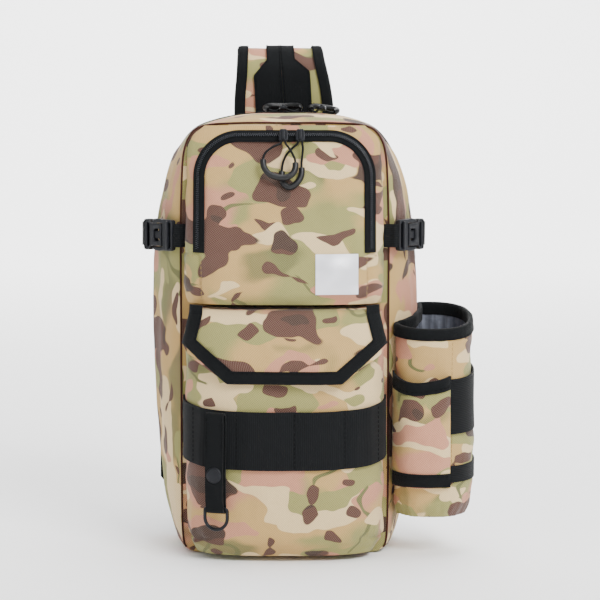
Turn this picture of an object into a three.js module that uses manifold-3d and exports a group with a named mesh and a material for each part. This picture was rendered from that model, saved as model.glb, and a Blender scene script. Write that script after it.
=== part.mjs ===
// Fishing tackle sling bag, standing upright on its base, in millimetres.
// +Z is up, the front faces -Y and the bottle holder is on the +X side.
// The origin is the centre of the main compartment's base.
import * as THREE from 'three';
import { mergeVertices } from 'three/addons/utils/BufferGeometryUtils.js';
import Module from 'manifold-3d';

const wasm = await Module();
wasm.setup();

// Driving sizes
const GAP = 0.3;                 // between pieces that touch
const SEAT = 0.5;                // under a tape or band that lies on a curved wall
const BODY_WIDTH = 230;          // main compartment at its widest
const BODY_HEIGHT = 384;
const BODY_DEPTH = 85;
const BODY_WALL = 3;             // cloth and foam
const FRONT_WIDTH = 180;         // front panel, seam to seam
const FRONT_HEIGHT = 376;
const POCKET_WALL = 2;
const PANEL_THICKNESS = 12;      // padded back panel
const PIPING_RADIUS = 1.2;
const UPPER_WIDTH = 172;         // upper pocket
const UPPER_BASE = 222;
const UPPER_HEIGHT = 152;
const UPPER_DEPTH = 46;
const LOWER_WIDTH = 172;         // lower pocket
const LOWER_BASE = 5;
const POCKET_SPACE = 8;          // between the two pockets, for the flap
const LOWER_HEIGHT = UPPER_BASE - LOWER_BASE - POCKET_SPACE;
const LOWER_DEPTH = 56;
const FLAP_DROP = 64;            // from the top of the lower pocket to the flap's lower edge
const FLAP_CLOTH = 2.2;
const FLAP_BINDING = 11;
const TAPE_THICKNESS = 1.4;
const COIL_THICKNESS = 2;
const DOME_WIDTH = 157;          // upper zip, outer edges
const DOME_RADIUS = 40;
const DOME_TAPE = 10;
const DOME_COIL = 5;
const MAIN_TAPE = 16;
const MAIN_COIL = 6;
const MAIN_ZIP_PLACE = 12;       // behind the middle of the depth
const BAND_WIDTH = 50;           // ribbed webbing round the lower pocket
const BAND_BASE = 80;
const WEBBING = 1.6;             // thickness of webbing
const SIDE_WEBBING = 20;
const SIDE_STRAP_HEIGHT = 279;
const BUCKLE_WIDTH = 27;
const BUCKLE_LENGTH = 34;
const BUCKLE_THICKNESS = 8;
const LABEL_WIDTH = 36.5;
const LABEL_HEIGHT = 34.5;
const LABEL_THICKNESS = 1;
const BOTTLE_WIDTH = 74;
const BOTTLE_DEPTH = 84;
const BOTTLE_BASE = 34;
const BOTTLE_HEIGHT = 173;
const BOTTLE_TILT = 16;          // the rim is lower in front by this much
const LINING_WALL = 1.2;
const RIM_BINDING = 10.5;
const TOOL_BULGE = 9;
const TOOL_BASE = 62;
const TOOL_HEIGHT = 94;
const PAD_WIDTH = 88;            // shoulder strap where it leaves the bag
const PAD_THICKNESS = 10;
const PAD_BINDING = 8;
const STRAP_BOW = 93;            // how far the strap stands off the back at most
const LOOP_WIDTH = 16;           // hanging webbing loop
const LOOP_TOP = 131;
const LOOP_DROP = 82;
const LOOP_PLACE = -57;
const RING_DROP = 18;            // D-ring, from its bar to the middle of its foot
const RING_CLEAR = 0.8;          // round the ring's wire in the loop
const RING_WIRE = 3;
const SNAP_RADIUS = 7;
const CORD_RADIUS = 1;           // cords of the zip pulls
const GRIP_RADIUS = 2.7;         // rubber tubes on those cords
const SLIDER_LENGTH = 11;
const SLIDER_WIDTH = 8;
const SLIDER_THICKNESS = 4.5;

// Half of the main compartment's outline, from the middle of the base to the middle of the top.
// side and front are shares of the half widths, sideRise and frontRise of the heights.
const OUTLINE = [
  { side: 0, sideRise: 0, front: 0, frontRise: 0 },
  { side: 0.39, sideRise: 0, front: 0.47, frontRise: 0 },
  { side: 0.73, sideRise: 0, front: 0.82, frontRise: 0 },
  { side: 0.83, sideRise: 0.02, front: 0.945, frontRise: 0.01 },
  { side: 0.88, sideRise: 0.078, front: 0.99, frontRise: 0.043 },
  { side: 0.93, sideRise: 0.18, front: 1, frontRise: 0.16 },
  { side: 0.974, sideRise: 0.34, front: 1, frontRise: 0.346 },
  { side: 1, sideRise: 0.56, front: 1, frontRise: 0.572 },
  { side: 0.974, sideRise: 0.716, front: 1, frontRise: 0.731 },
  { side: 0.913, sideRise: 0.828, front: 0.99, frontRise: 0.851 },
  { side: 0.817, sideRise: 0.91, front: 0.965, frontRise: 0.935 },
  { side: 0.696, sideRise: 0.962, front: 0.885, frontRise: 0.978 },
  { side: 0.52, sideRise: 0.985, front: 0.74, frontRise: 0.995 },
  { side: 0.28, sideRise: 0.998, front: 0.4, frontRise: 1 },
  { side: 0, sideRise: 1, front: 0, frontRise: 1 },
];

// From the front seam to the back seam: depth is a share of the depth, spread says how far the
// outline has gone from the front panel's to the widest one, rise is a share of the height.
const GUSSET = [
  { depth: -0.5, spread: 0, rise: 1 },
  { depth: -0.42, spread: 0.35, rise: 1 },
  { depth: -0.26, spread: 0.75, rise: 1 },
  { depth: 0, spread: 1, rise: 1 },
  { depth: 0.26, spread: 1, rise: 0.99 },
  { depth: 0.42, spread: 0.97, rise: 0.983 },
  { depth: 0.5, spread: 0.9, rise: 0.976 },
];

// Sections of the front pockets, from the bottom up, as shares of each pocket's own sizes.
const UPPER_SECTIONS = [
  { rise: 0, width: 0.97, depth: 0.8 },
  { rise: 0.03, width: 0.99, depth: 0.95 },
  { rise: 0.09, width: 1, depth: 1 },
  { rise: 0.22, width: 1, depth: 0.96 },
  { rise: 0.35, width: 1, depth: 0.86 },
  { rise: 0.6, width: 1, depth: 0.6 },
  { rise: 0.86, width: 0.975, depth: 0.31 },
  { rise: 0.94, width: 0.93, depth: 0.22 },
  { rise: 0.98, width: 0.86, depth: 0.15 },
  { rise: 1, width: 0.76, depth: 0.07 },
];
const LOWER_SECTIONS = [
  { rise: 0, width: 0.88, depth: 0.66 },
  { rise: 0.03, width: 0.95, depth: 0.82 },
  { rise: 0.09, width: 0.99, depth: 0.92 },
  { rise: 0.22, width: 1, depth: 0.98 },
  { rise: 0.45, width: 1, depth: 1 },
  { rise: 0.7, width: 0.995, depth: 0.97 },
  { rise: 0.88, width: 0.985, depth: 0.88 },
  { rise: 1, width: 0.97, depth: 0.76 },
];

// The flap, from its seam under the upper pocket to its foot. place is the distance along it
// from the lower pocket's top edge and drop how far it hangs, both as shares of its fall.
// width is a share of the lower pocket's width and reach of that pocket's depth. up says how
// much of a lift goes upwards, and edge widens the binding on the slant.
const FLAP_ROWS = [
  { place: -0.7, drop: -0.04, width: 0.94, reach: 0, up: 1, edge: 1 },
  { place: -0.35, drop: -0.045, width: 0.94, reach: 0.5, up: 1, edge: 1 },
  { place: -0.06, drop: -0.035, width: 0.942, reach: 0.9, up: 0.8, edge: 1 },
  { place: 0, drop: 0, width: 0.945, reach: 0.97, up: 0.3, edge: 1 },
  { place: 0.08, drop: 0.08, width: 0.96, reach: 1, up: 0, edge: 1 },
  { place: 0.28, drop: 0.28, width: 1.0, reach: 1, up: 0, edge: 1 },
  { place: 0.45, drop: 0.45, width: 1.02, reach: 1, up: 0, edge: 1.15 },
  { place: 0.6, drop: 0.6, width: 0.96, reach: 1, up: 0, edge: 1.6 },
  { place: 0.8, drop: 0.8, width: 0.755, reach: 1, up: 0, edge: 1.8 },
  { place: 1, drop: 1, width: 0.55, reach: 1, up: 0, edge: 1.8 },
];

const BOTTLE_SECTIONS = [
  { rise: 0, width: 0.8 },
  { rise: 0.03, width: 0.93 },
  { rise: 0.09, width: 0.985 },
  { rise: 0.17, width: 1 },
  { rise: 0.75, width: 0.99 },
  { rise: 0.9, width: 0.98 },
  { rise: 1, width: 0.97 },
];

// Half widths of the shoulder strap's pad and of the webbing on it, as shares of the pad's
// half width, by the share of its length.
const STRAP_ROWS = [
  { along: 0, pad: 1, webbing: 0.58 },
  { along: 0.12, pad: 1, webbing: 0.58 },
  { along: 0.165, pad: 0.91, webbing: 0.58 },
  { along: 0.19, pad: 0.87, webbing: 0.29 },
  { along: 0.25, pad: 0.84, webbing: 0.28 },
  { along: 0.6, pad: 0.76, webbing: 0.28 },
  { along: 0.92, pad: 0.68, webbing: 0.28 },
  { along: 1, pad: 0.5, webbing: 0.28 },
];

// The route of the shoulder strap's outer face: up from the back, over and down to the left
// corner. across is a share of the bag's width, behind of STRAP_BOW and rise of its height.
const STRAP_ROUTE = [
  { across: -0.004, behind: 0, rise: 0.88 },
  { across: -0.004, behind: 0, rise: 0.97 },
  { across: -0.01, behind: 0.015, rise: 1.055 },
  { across: -0.017, behind: 0.055, rise: 1.12 },
  { across: -0.022, behind: 0.2, rise: 1.162 },
  { across: -0.026, behind: 0.375, rise: 1.13 },
  { across: -0.03, behind: 0.49, rise: 1.055 },
  { across: -0.044, behind: 0.68, rise: 0.925 },
  { across: -0.07, behind: 0.88, rise: 0.78 },
  { across: -0.113, behind: 1, rise: 0.625 },
  { across: -0.174, behind: 0.98, rise: 0.48 },
  { across: -0.243, behind: 0.82, rise: 0.35 },
  { across: -0.304, behind: 0.59, rise: 0.255 },
];

// Routes of the zip pulls, from a slider round and back to it, with the lift off the pocket or
// off the top as the last number. slider is its place across, and the rubber tube of the grip
// lies on the cord from gripStart to gripEnd, as shares of its length.
const UPPER_PULLS = {
  left: {
    slider: -1, gripStart: 0.27, gripEnd: 0.76,
    route: [[-7, 357.6, 8.4], [-14, 353.4, 8.8], [-17.5, 349, 8.8], [-17.6, 340, 9.6], [-13, 333.5, 9.8],
      [-4, 330.4, 9.8], [4, 331.4, 9.8], [8.6, 336, 9.6], [9.2, 344.6, 9.2], [6.5, 351, 9], [2.6, 357, 8]],
  },
  right: {
    slider: 13.5, gripStart: 0.34, gripEnd: 0.75,
    route: [[8, 356, 4.4], [1.5, 349, 3.4], [-1.6, 341, 3.2], [-2.2, 331, 3.2], [-0.6, 325, 3.2],
      [4, 322, 3.2], [10.6, 325.6, 3.2], [14.4, 332, 3.2], [14.6, 342, 3.4], [15.2, 348, 4],
      [15.8, 355, 5]],
  },
};
const TOP_PULLS = {
  left: {
    slider: -1.5, gripStart: 0.18, gripEnd: 0.79,
    route: [[-9, 22, 3.8], [-14, 26, 3.4], [-17.4, 34, 3.6], [-15, 41, 4.4], [-8, 45.4, 5.2],
      [0, 46.6, 5.4], [7, 45, 5.2], [11.8, 40, 4.4], [13, 34, 3.6], [8, 25, 3.6]],
  },
  right: {
    slider: 32.5, gripStart: 0.19, gripEnd: 0.8,
    route: [[27, 23, 3.8], [24, 27, 3.4], [22.6, 35, 3.6], [25.4, 41.4, 4.2], [31.4, 44.4, 4.6],
      [38, 43, 4.2], [42, 37.6, 3.6], [41, 29.4, 3.4], [38.6, 24.6, 3.8]],
  },
};

const FRONT_Y = -BODY_DEPTH / 2;
const BACK_Y = BODY_DEPTH / 2;
const POCKET_Y = FRONT_Y - GAP;
const PANEL_Y = BACK_Y + GAP;
const PANEL_FACE_Y = PANEL_Y + PANEL_THICKNESS;
const LOWER_TOP = LOWER_BASE + LOWER_HEIGHT;

// Value of one column of a table at a place given in another column, straight between rows.
function tableAt(table, key, place, column) {
  let next = table.findIndex((row) => row[key] >= place);
  if (next < 0) next = table.length - 1;
  if (next === 0) return table[0][column];
  const low = table[next - 1];
  const high = table[next];
  const share = THREE.MathUtils.clamp((place - low[key]) / (high[key] - low[key]), 0, 1);
  return THREE.MathUtils.lerp(low[column], high[column], share);
}

// The rows of a table that lie between two places, with those places as its ends.
function placesIn(places, from, to) {
  return [from, ...places.filter((place) => place > from + 1 && place < to - 1), to];
}

function steps(from, to, count) {
  return Array.from({ length: count + 1 }, (_, i) => THREE.MathUtils.lerp(from, to, i / count));
}

// A closed body from its corners and triangles, turned so that its faces point out.
function bodyFrom(points, faces) {
  let volume = 0;
  for (const [a, b, c] of faces) {
    volume += points[a].dot(new THREE.Vector3().crossVectors(points[b], points[c]));
  }
  const index = faces.flatMap(([a, b, c]) => (volume < 0 ? [a, c, b] : [a, b, c]));
  const geometry = new THREE.BufferGeometry();
  const positions = points.flatMap((p) => p.toArray());
  geometry.setAttribute('position', new THREE.Float32BufferAttribute(positions, 3));
  geometry.setIndex(index);
  return geometry;
}

// A body through a row of rings with as many points each, closed by a fan at both ends.
function loft(rings) {
  const points = rings.flat();
  const count = rings[0].length;
  const faces = [];
  for (let r = 0; r < rings.length - 1; r++) {
    for (let i = 0; i < count; i++) {
      const j = (i + 1) % count;
      faces.push([r * count + i, r * count + j, (r + 1) * count + j]);
      faces.push([r * count + i, (r + 1) * count + j, (r + 1) * count + i]);
    }
  }
  for (const end of [0, rings.length - 1]) {
    const middle = new THREE.Vector3();
    for (const point of rings[end]) middle.addScaledVector(point, 1 / count);
    const hub = points.push(middle) - 1;
    for (let i = 0; i < count; i++) {
      const here = end * count + i;
      const next = end * count + ((i + 1) % count);
      faces.push(end === 0 ? [hub, next, here] : [hub, here, next]);
    }
  }
  return bodyFrom(points, faces);
}

// A thin closed layer over surface(u, v, lift), between two lifts. With loop, u comes round.
function layer(surface, us, vs, low, high, loop = false) {
  const points = [];
  for (const lift of [low, high]) {
    for (const u of us) {
      for (const v of vs) points.push(surface(u, v, lift));
    }
  }
  const rows = us.length;
  const columns = vs.length;
  const last = columns - 1;
  const at = (side, i, j) => side * rows * columns + (i % rows) * columns + j;
  const faces = [];
  const quad = (a, b, c, d) => faces.push([a, b, c], [a, c, d]);
  for (let i = 0; i < (loop ? rows : rows - 1); i++) {
    for (let j = 0; j < last; j++) {
      quad(at(1, i, j), at(1, i + 1, j), at(1, i + 1, j + 1), at(1, i, j + 1));
      quad(at(0, i, j), at(0, i, j + 1), at(0, i + 1, j + 1), at(0, i + 1, j));
    }
    quad(at(0, i, 0), at(0, i + 1, 0), at(1, i + 1, 0), at(1, i, 0));
    quad(at(0, i, last), at(1, i, last), at(1, i + 1, last), at(0, i + 1, last));
  }
  for (let j = 0; j < last && !loop; j++) {
    const end = rows - 1;
    quad(at(0, 0, j), at(1, 0, j), at(1, 0, j + 1), at(0, 0, j + 1));
    quad(at(0, end, j), at(0, end, j + 1), at(1, end, j + 1), at(1, end, j));
  }
  return bodyFrom(points, faces);
}

function toManifold(geometry) {
  const bare = geometry.clone();
  bare.deleteAttribute('normal');
  bare.deleteAttribute('uv');
  const merged = mergeVertices(bare);
  return new wasm.Manifold(new wasm.Mesh({
    numProp: 3,
    vertProperties: new Float32Array(merged.attributes.position.array),
    triVerts: new Uint32Array(merged.index.array),
  }));
}

function fromManifold(solid) {
  const mesh = solid.getMesh();
  const result = new THREE.BufferGeometry();
  result.setAttribute('position', new THREE.BufferAttribute(new Float32Array(mesh.vertProperties), 3));
  result.setIndex(new THREE.BufferAttribute(new Uint32Array(mesh.triVerts), 1));
  return result;
}

function cut(geometry, ...tools) {
  const start = toManifold(geometry);
  return fromManifold(tools.reduce((solid, tool) => solid.subtract(toManifold(tool)), start));
}

function join(...geometries) {
  return fromManifold(geometries.map(toManifold).reduce((solid, next) => solid.add(next)));
}

// A stretch of a curve, as a curve of its own.
class Stretch extends THREE.Curve {
  constructor(whole, start, end) {
    super();
    Object.assign(this, { whole, start, end });
  }

  getPoint(t, target) {
    return this.whole.getPointAt(THREE.MathUtils.lerp(this.start, this.end, t), target);
  }
}

// A round tube along a curve.
function tube(curve, radius, stepCount, sides = 8) {
  const section = new THREE.Shape();
  section.absarc(0, 0, radius, 0, Math.PI * 2);
  return new THREE.ExtrudeGeometry(section, {
    steps: stepCount,
    curveSegments: sides / 2,
    bevelEnabled: false,
    extrudePath: curve,
  });
}

function roundedRectangle(width, height, radius) {
  const shape = new THREE.Shape();
  const x = width / 2 - radius;
  const y = height / 2 - radius;
  shape.absarc(x, y, radius, 0, Math.PI / 2);
  shape.absarc(-x, y, radius, Math.PI / 2, Math.PI);
  shape.absarc(-x, -y, radius, Math.PI, Math.PI * 1.5);
  shape.absarc(x, -y, radius, Math.PI * 1.5, Math.PI * 2);
  return shape;
}

// A plate from a flat shape, centred on its own thickness, with a small bevel.
function plate(shape, thickness, bevel, curveSegments = 4) {
  const geometry = new THREE.ExtrudeGeometry(shape, {
    depth: thickness - 2 * bevel,
    bevelEnabled: bevel > 0,
    bevelThickness: bevel,
    bevelSize: bevel,
    bevelOffset: -bevel,
    bevelSegments: 1,
    curveSegments,
  });
  return geometry.translate(0, 0, bevel - thickness / 2);
}

// A strip of webbing standing on edge along a plan route of [x, y] points.
function standingStrip(route, height, middle, thickness) {
  const curve = new THREE.CatmullRomCurve3(route.map(([x, y]) => new THREE.Vector3(x, y, 0)));
  const surface = (u, z, lift) => {
    const along = curve.getTangentAt(u);
    const point = curve.getPointAt(u);
    return new THREE.Vector3(point.x + along.y * lift, point.y - along.x * lift, z);
  };
  const half = height / 2;
  return layer(surface, steps(0, 1, 10), [middle - half, middle + half], -thickness / 2, thickness / 2);
}

const bag = new THREE.Group();

function finish(colour, roughness, metalness = 0) {
  return new THREE.MeshStandardMaterial({ color: colour, roughness, metalness });
}

const camouflage = () => finish(0xb7a67c, 0.85);
const blackCloth = () => finish(0x1c2022, 0.9);
const blackWebbing = () => finish(0x1e2224, 0.8);
const moulded = () => finish(0x32373e, 0.45);
const rubber = () => finish(0x24282c, 0.55);
const silverLabel = () => finish(0xe4e4ea, 0.35, 0.2);
const silverLining = () => finish(0x64676f, 0.4, 0.3);
const darkMetal = () => finish(0x3a3d42, 0.35, 0.8);

function add(name, geometry, material, group = bag) {
  const mesh = new THREE.Mesh(geometry, material);
  mesh.name = name;
  group.add(mesh);
}

// Main compartment

function closedOutline(width, height, across, up) {
  const half = OUTLINE.map((row) => new THREE.Vector2(row[across] * width / 2, row[up] * height));
  const mirrored = half.slice(0, -1).reverse().map((point) => new THREE.Vector2(-point.x, point.y));
  return new THREE.SplineCurve([...half, ...mirrored]);
}

const sideOutline = closedOutline(BODY_WIDTH, BODY_HEIGHT, 'side', 'sideRise');
const frontOutline = closedOutline(FRONT_WIDTH, FRONT_HEIGHT, 'front', 'frontRise');

// A point of the main compartment's wall: u goes once round from the middle of the base,
// y is its depth and lift its distance outside the wall.
function bodyAt(u, y, lift = 0) {
  const depth = y / BODY_DEPTH;
  const spread = tableAt(GUSSET, 'depth', depth, 'spread');
  const rise = tableAt(GUSSET, 'depth', depth, 'rise');
  const outline = (place) => {
    const flat = frontOutline.getPoint(place).lerp(sideOutline.getPoint(place), spread);
    return new THREE.Vector2(flat.x, Math.max(0, flat.y) * rise);
  };
  const nudge = 0.002;
  const here = outline(u);
  const along = outline(Math.min(1, u + nudge)).sub(outline(Math.max(0, u - nudge))).normalize();
  return new THREE.Vector3(here.x + along.y * lift, y, here.y - along.x * lift);
}

const RING_STEPS = 44;
const ringPlaces = steps(0, 1, RING_STEPS).slice(0, -1);
const ringPlace = (index) => index / RING_STEPS;
const gussetDepths = GUSSET.map((row) => row.depth * BODY_DEPTH);

function bodyRings(inset) {
  const reach = BODY_DEPTH / 2 - inset;
  return gussetDepths.map((depth) => {
    const y = THREE.MathUtils.clamp(depth, -reach, reach);
    return ringPlaces.map((u) => bodyAt(u, y, -inset));
  });
}

// How far the side wall reaches out at a depth and height.
function sideReach(y, z) {
  const half = ringPlaces.filter((u) => u <= 0.5).map((u) => bodyAt(u, y));
  for (let i = 1; i < half.length; i++) {
    if (half[i].z >= z && half[i].z > half[i - 1].z) {
      const share = THREE.MathUtils.clamp((z - half[i - 1].z) / (half[i].z - half[i - 1].z), 0, 1);
      return THREE.MathUtils.lerp(half[i - 1].x, half[i].x, share);
    }
  }
  return half[half.length - 1].x;
}

// The main zip starts above the bottle holder, runs over the top and down the other side.
const ZIP_FIRST = 12;
const ZIP_LAST = RING_STEPS - 7;

function mainZipPlaces(trim) {
  return steps(ZIP_FIRST + trim, ZIP_LAST - trim, ZIP_LAST - ZIP_FIRST - 2 * trim).map(ringPlace);
}
const zipBand = (width) => [MAIN_ZIP_PLACE - width / 2, MAIN_ZIP_PLACE + width / 2];

const mainSlot = layer(bodyAt, mainZipPlaces(1), zipBand(MAIN_COIL), -BODY_WALL * 2, BODY_WALL);
add('main_body', cut(loft(bodyRings(0)), loft(bodyRings(BODY_WALL)), mainSlot), camouflage());
const tapeLift = [SEAT, SEAT + TAPE_THICKNESS];
add('main_zip_tape', layer(bodyAt, mainZipPlaces(0), zipBand(MAIN_TAPE), ...tapeLift), blackCloth());
const coilLow = SEAT + TAPE_THICKNESS + GAP;
const coilHigh = coilLow + COIL_THICKNESS;
add('main_zip_coil', layer(bodyAt, mainZipPlaces(1), zipBand(MAIN_COIL), coilLow, coilHigh), blackCloth());

const panelRows = [
  { out: -3, y: PANEL_Y },
  { out: -0.5, y: PANEL_Y + PANEL_THICKNESS * 0.3 },
  { out: -1.5, y: PANEL_Y + PANEL_THICKNESS * 0.75 },
  { out: -8, y: PANEL_FACE_Y },
];
const panelRings = panelRows.map(({ out, y }) => ringPlaces.map((u) => {
  const point = bodyAt(u, BACK_Y, out);
  return new THREE.Vector3(point.x, y, point.z);
}));
add('back_panel', loft(panelRings), blackCloth());

const PIPING_ENDS = 5;           // ring steps from the middle of the base
const PIPING_STEPS = 51;
const pipingRun = RING_STEPS - 2 * PIPING_ENDS;
const pipingPlaces = steps(PIPING_ENDS, RING_STEPS - PIPING_ENDS, pipingRun).map(ringPlace);
const pipingOut = PIPING_RADIUS + GAP * 0.6;
const pipingPoints = pipingPlaces.map((u) => {
  const point = bodyAt(u, FRONT_Y, pipingOut);
  return point.setY(FRONT_Y - pipingOut);
});
const pipingCurve = new THREE.CatmullRomCurve3(pipingPoints);
add('front_piping', tube(pipingCurve, PIPING_RADIUS, PIPING_STEPS, 6), blackCloth());

// Front pockets, each a rounded box that leans on the front panel

const BULGE = 2.8;

function pocket(width, base, height, depth, sections) {
  const halfAt = (z) => tableAt(sections, 'rise', (z - base) / height, 'width') * width / 2;
  const depthAt = (z) => tableAt(sections, 'rise', (z - base) / height, 'depth') * depth;
  const round = (value) => Math.sign(value) * Math.abs(value) ** (2 / BULGE);
  return {
    // A point round the front, from the +X side at 0 to the -X side at 1.
    around(turn, z, lift = 0) {
      const angle = turn * Math.PI;
      const x = (halfAt(z) + lift) * round(Math.cos(angle));
      const out = (depthAt(z) + lift) * round(Math.sin(angle));
      return new THREE.Vector3(x, POCKET_Y - out, z);
    },
    // The point of the front straight above x.
    front(x, z, lift = 0) {
      const share = Math.min(1, Math.abs(x) / (halfAt(z) + lift));
      const out = (depthAt(z) + lift) * (1 - share ** BULGE) ** (1 / BULGE);
      return new THREE.Vector3(x, POCKET_Y - out, z);
    },
    heights: sections.map((row) => base + row.rise * height),
  };
}

const POCKET_TURNS = steps(0, 1, 16);

// The pocket's cloth: open at the back, where it is sewn on, and at the top if openTop is set.
function pocketShell(shape, wall, openTop) {
  const outer = shape.heights.map((z) => POCKET_TURNS.map((turn) => shape.around(turn, z)));
  const low = shape.heights[0] + wall;
  const top = shape.heights[shape.heights.length - 1];
  const high = openTop ? top + wall : top - wall;
  const inner = shape.heights.map((z) => POCKET_TURNS.map((turn) => {
    const point = shape.around(turn, z, -wall);
    const level = z === top ? high : THREE.MathUtils.clamp(z, low, high);
    return point.setZ(level).setY(point.y + (turn === 0 || turn === 1 ? wall : 0));
  }));
  return cut(loft(outer), loft(inner));
}

const upper = pocket(UPPER_WIDTH, UPPER_BASE, UPPER_HEIGHT, UPPER_DEPTH, UPPER_SECTIONS);
const lower = pocket(LOWER_WIDTH, LOWER_BASE, LOWER_HEIGHT, LOWER_DEPTH, LOWER_SECTIONS);

const DOME_TOP = UPPER_BASE + UPPER_HEIGHT * 0.975;
const DOME_FOOT = UPPER_BASE + UPPER_HEIGHT * 0.29;

// The arch of the upper zip, inset from its outer edge.
function domePath(inset) {
  const half = DOME_WIDTH / 2 - inset;
  const radius = DOME_RADIUS - inset;
  const side = DOME_TOP - inset - radius;
  const path = new THREE.Path();
  path.moveTo(-half, DOME_FOOT);
  path.lineTo(-half, side);
  path.absarc(radius - half, side, radius, Math.PI, Math.PI / 2, true);
  path.absarc(half - radius, side, radius, Math.PI / 2, 0, true);
  path.lineTo(half, DOME_FOOT);
  return path;
}

function domeAt(u, inset, lift) {
  const point = domePath(inset).getPointAt(u);
  return upper.front(point.x, point.y, lift);
}

const domeSteps = (trim) => steps(trim, 1 - trim, 38);
const COIL_EDGE = 1.5;
const coilBand = [COIL_EDGE, COIL_EDGE + DOME_COIL];
const domeSlot = layer(domeAt, steps(0.02, 0.98, 22), coilBand, -POCKET_WALL * 3, POCKET_WALL * 2);
add('upper_pocket', cut(pocketShell(upper, POCKET_WALL, false), domeSlot), camouflage());
const domeTapeLift = [2 * GAP, SEAT + TAPE_THICKNESS];
add('upper_zip_tape', layer(domeAt, domeSteps(0), [0, DOME_TAPE], ...domeTapeLift), blackCloth());
add('upper_zip_coil', layer(domeAt, domeSteps(0.01), coilBand, coilLow, coilHigh), blackCloth());

const LABEL_LEFT = 26.5;
const LABEL_BASE = UPPER_BASE + UPPER_HEIGHT * 0.06;
const labelAt = (x, z, lift) => upper.front(x, z, lift);
const labelAcross = steps(LABEL_LEFT, LABEL_LEFT + LABEL_WIDTH, 6);
const labelUp = placesIn(upper.heights, LABEL_BASE, LABEL_BASE + LABEL_HEIGHT);
add('label_patch', layer(labelAt, labelAcross, labelUp, SEAT, SEAT + LABEL_THICKNESS), silverLabel());

add('lower_pocket', pocketShell(lower, POCKET_WALL, true), camouflage());

// The flap lies over the pocket's open top and hangs a little proud of its front.
const FLAP_EASE = 4;
const FLAP_FLARE = 0.97;         // its sides stand out from the pocket's round corners
const flapColumn = (place, column) => tableAt(FLAP_ROWS, 'place', place, column);
const flapHalf = (place) => flapColumn(place, 'width') * LOWER_WIDTH / 2;

function flapAt(u, place, lift) {
  const z = LOWER_TOP - flapColumn(place, 'drop') * FLAP_DROP;
  const x = u * flapHalf(place);
  const up = flapColumn(place, 'up');
  const front = lower.front(x * FLAP_FLARE, Math.min(z, LOWER_TOP), FLAP_EASE + lift * (1 - up));
  const out = (POCKET_Y - front.y) * flapColumn(place, 'reach');
  return new THREE.Vector3(x, POCKET_Y - out, z + lift * up);
}

const flapAcross = steps(-1, 1, 12);
const flapBetween = [0.525, 0.7, 0.9];
const flapPlaces = [...FLAP_ROWS.map((row) => row.place), ...flapBetween].sort((a, b) => a - b);
const flapFront = flapPlaces.filter((place) => place >= 0);
add('flap', layer(flapAt, flapAcross, flapPlaces, 0, FLAP_CLOTH), camouflage());

// The binding of the flap's free edge: a strip down each side and one along the foot.
const bindingLift = [FLAP_CLOTH + 2 * SEAT, FLAP_CLOTH + 2 * SEAT + TAPE_THICKNESS];

function flapSideAt(side) {
  return (inset, place, lift) => {
    const edge = flapColumn(place, 'edge') * FLAP_BINDING;
    return flapAt(side * (1 - inset * edge / flapHalf(place)), place, lift);
  };
}

const flapSides = [-1, 1].map((side) => layer(flapSideAt(side), steps(0, 1, 2), flapFront, ...bindingLift));
const footPlaces = [1 - FLAP_BINDING / FLAP_DROP, ...flapFront.slice(-2)];
const flapFoot = layer(flapAt, steps(-0.999, 0.999, 8), footPlaces, ...bindingLift);
add('flap_binding', join(...flapSides, flapFoot), blackCloth());

const bandHeights = placesIn(lower.heights, BAND_BASE, BAND_BASE + BAND_WIDTH);
add('webbing_band', layer(lower.around, POCKET_TURNS, bandHeights, SEAT, SEAT + WEBBING), blackWebbing());

// Hanging webbing loop, its snap and its ring, turned with the pocket's corner

const LOOP_YAW = THREE.MathUtils.degToRad(-20);
const LOOP_FOLD = RING_WIRE / 2 + RING_CLEAR + WEBBING / 2;
const loopGroup = new THREE.Group();
const loopSeat = lower.front(LOOP_PLACE, BAND_BASE + BAND_WIDTH / 2, SEAT + WEBBING + GAP);
const loopStand = LOOP_FOLD + WEBBING / 2;
const loopOut = new THREE.Vector3(Math.sin(LOOP_YAW), -Math.cos(LOOP_YAW), 0);
loopGroup.position.copy(loopSeat).addScaledVector(loopOut, loopStand).setZ(LOOP_TOP - LOOP_DROP);
loopGroup.rotation.z = LOOP_YAW;
bag.add(loopGroup);

// The loop seen from the side: two layers of webbing joined by a fold at the top and the bottom.
function loopOutline(radius) {
  const path = new THREE.Shape();
  path.absarc(0, 0, radius, Math.PI, Math.PI * 2);
  path.absarc(0, LOOP_DROP - LOOP_FOLD, radius, 0, Math.PI);
  return path;
}
const loopProfile = loopOutline(LOOP_FOLD + WEBBING / 2);
loopProfile.holes.push(loopOutline(LOOP_FOLD - WEBBING / 2));
const hangingLoop = plate(loopProfile, LOOP_WIDTH, 0, 5).rotateX(Math.PI / 2).rotateZ(Math.PI / 2);
add('hanging_loop', hangingLoop, blackWebbing(), loopGroup);

const SNAP_RISE = 2.2;
const SNAP_PLACE = 0.36;         // up the loop
const snapProfile = [[0, 0], [1, 0], [1, 0.45], [0.7, 0.9], [0, 1]];
const snapPoints = snapProfile.map(([out, up]) => new THREE.Vector2(out * SNAP_RADIUS, up * SNAP_RISE));
const snap = new THREE.LatheGeometry(snapPoints, 16).rotateX(Math.PI);
snap.translate(0, -LOOP_FOLD - WEBBING / 2 - GAP, LOOP_DROP * SNAP_PLACE);
add('snap_cap', snap, moulded(), loopGroup);

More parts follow.
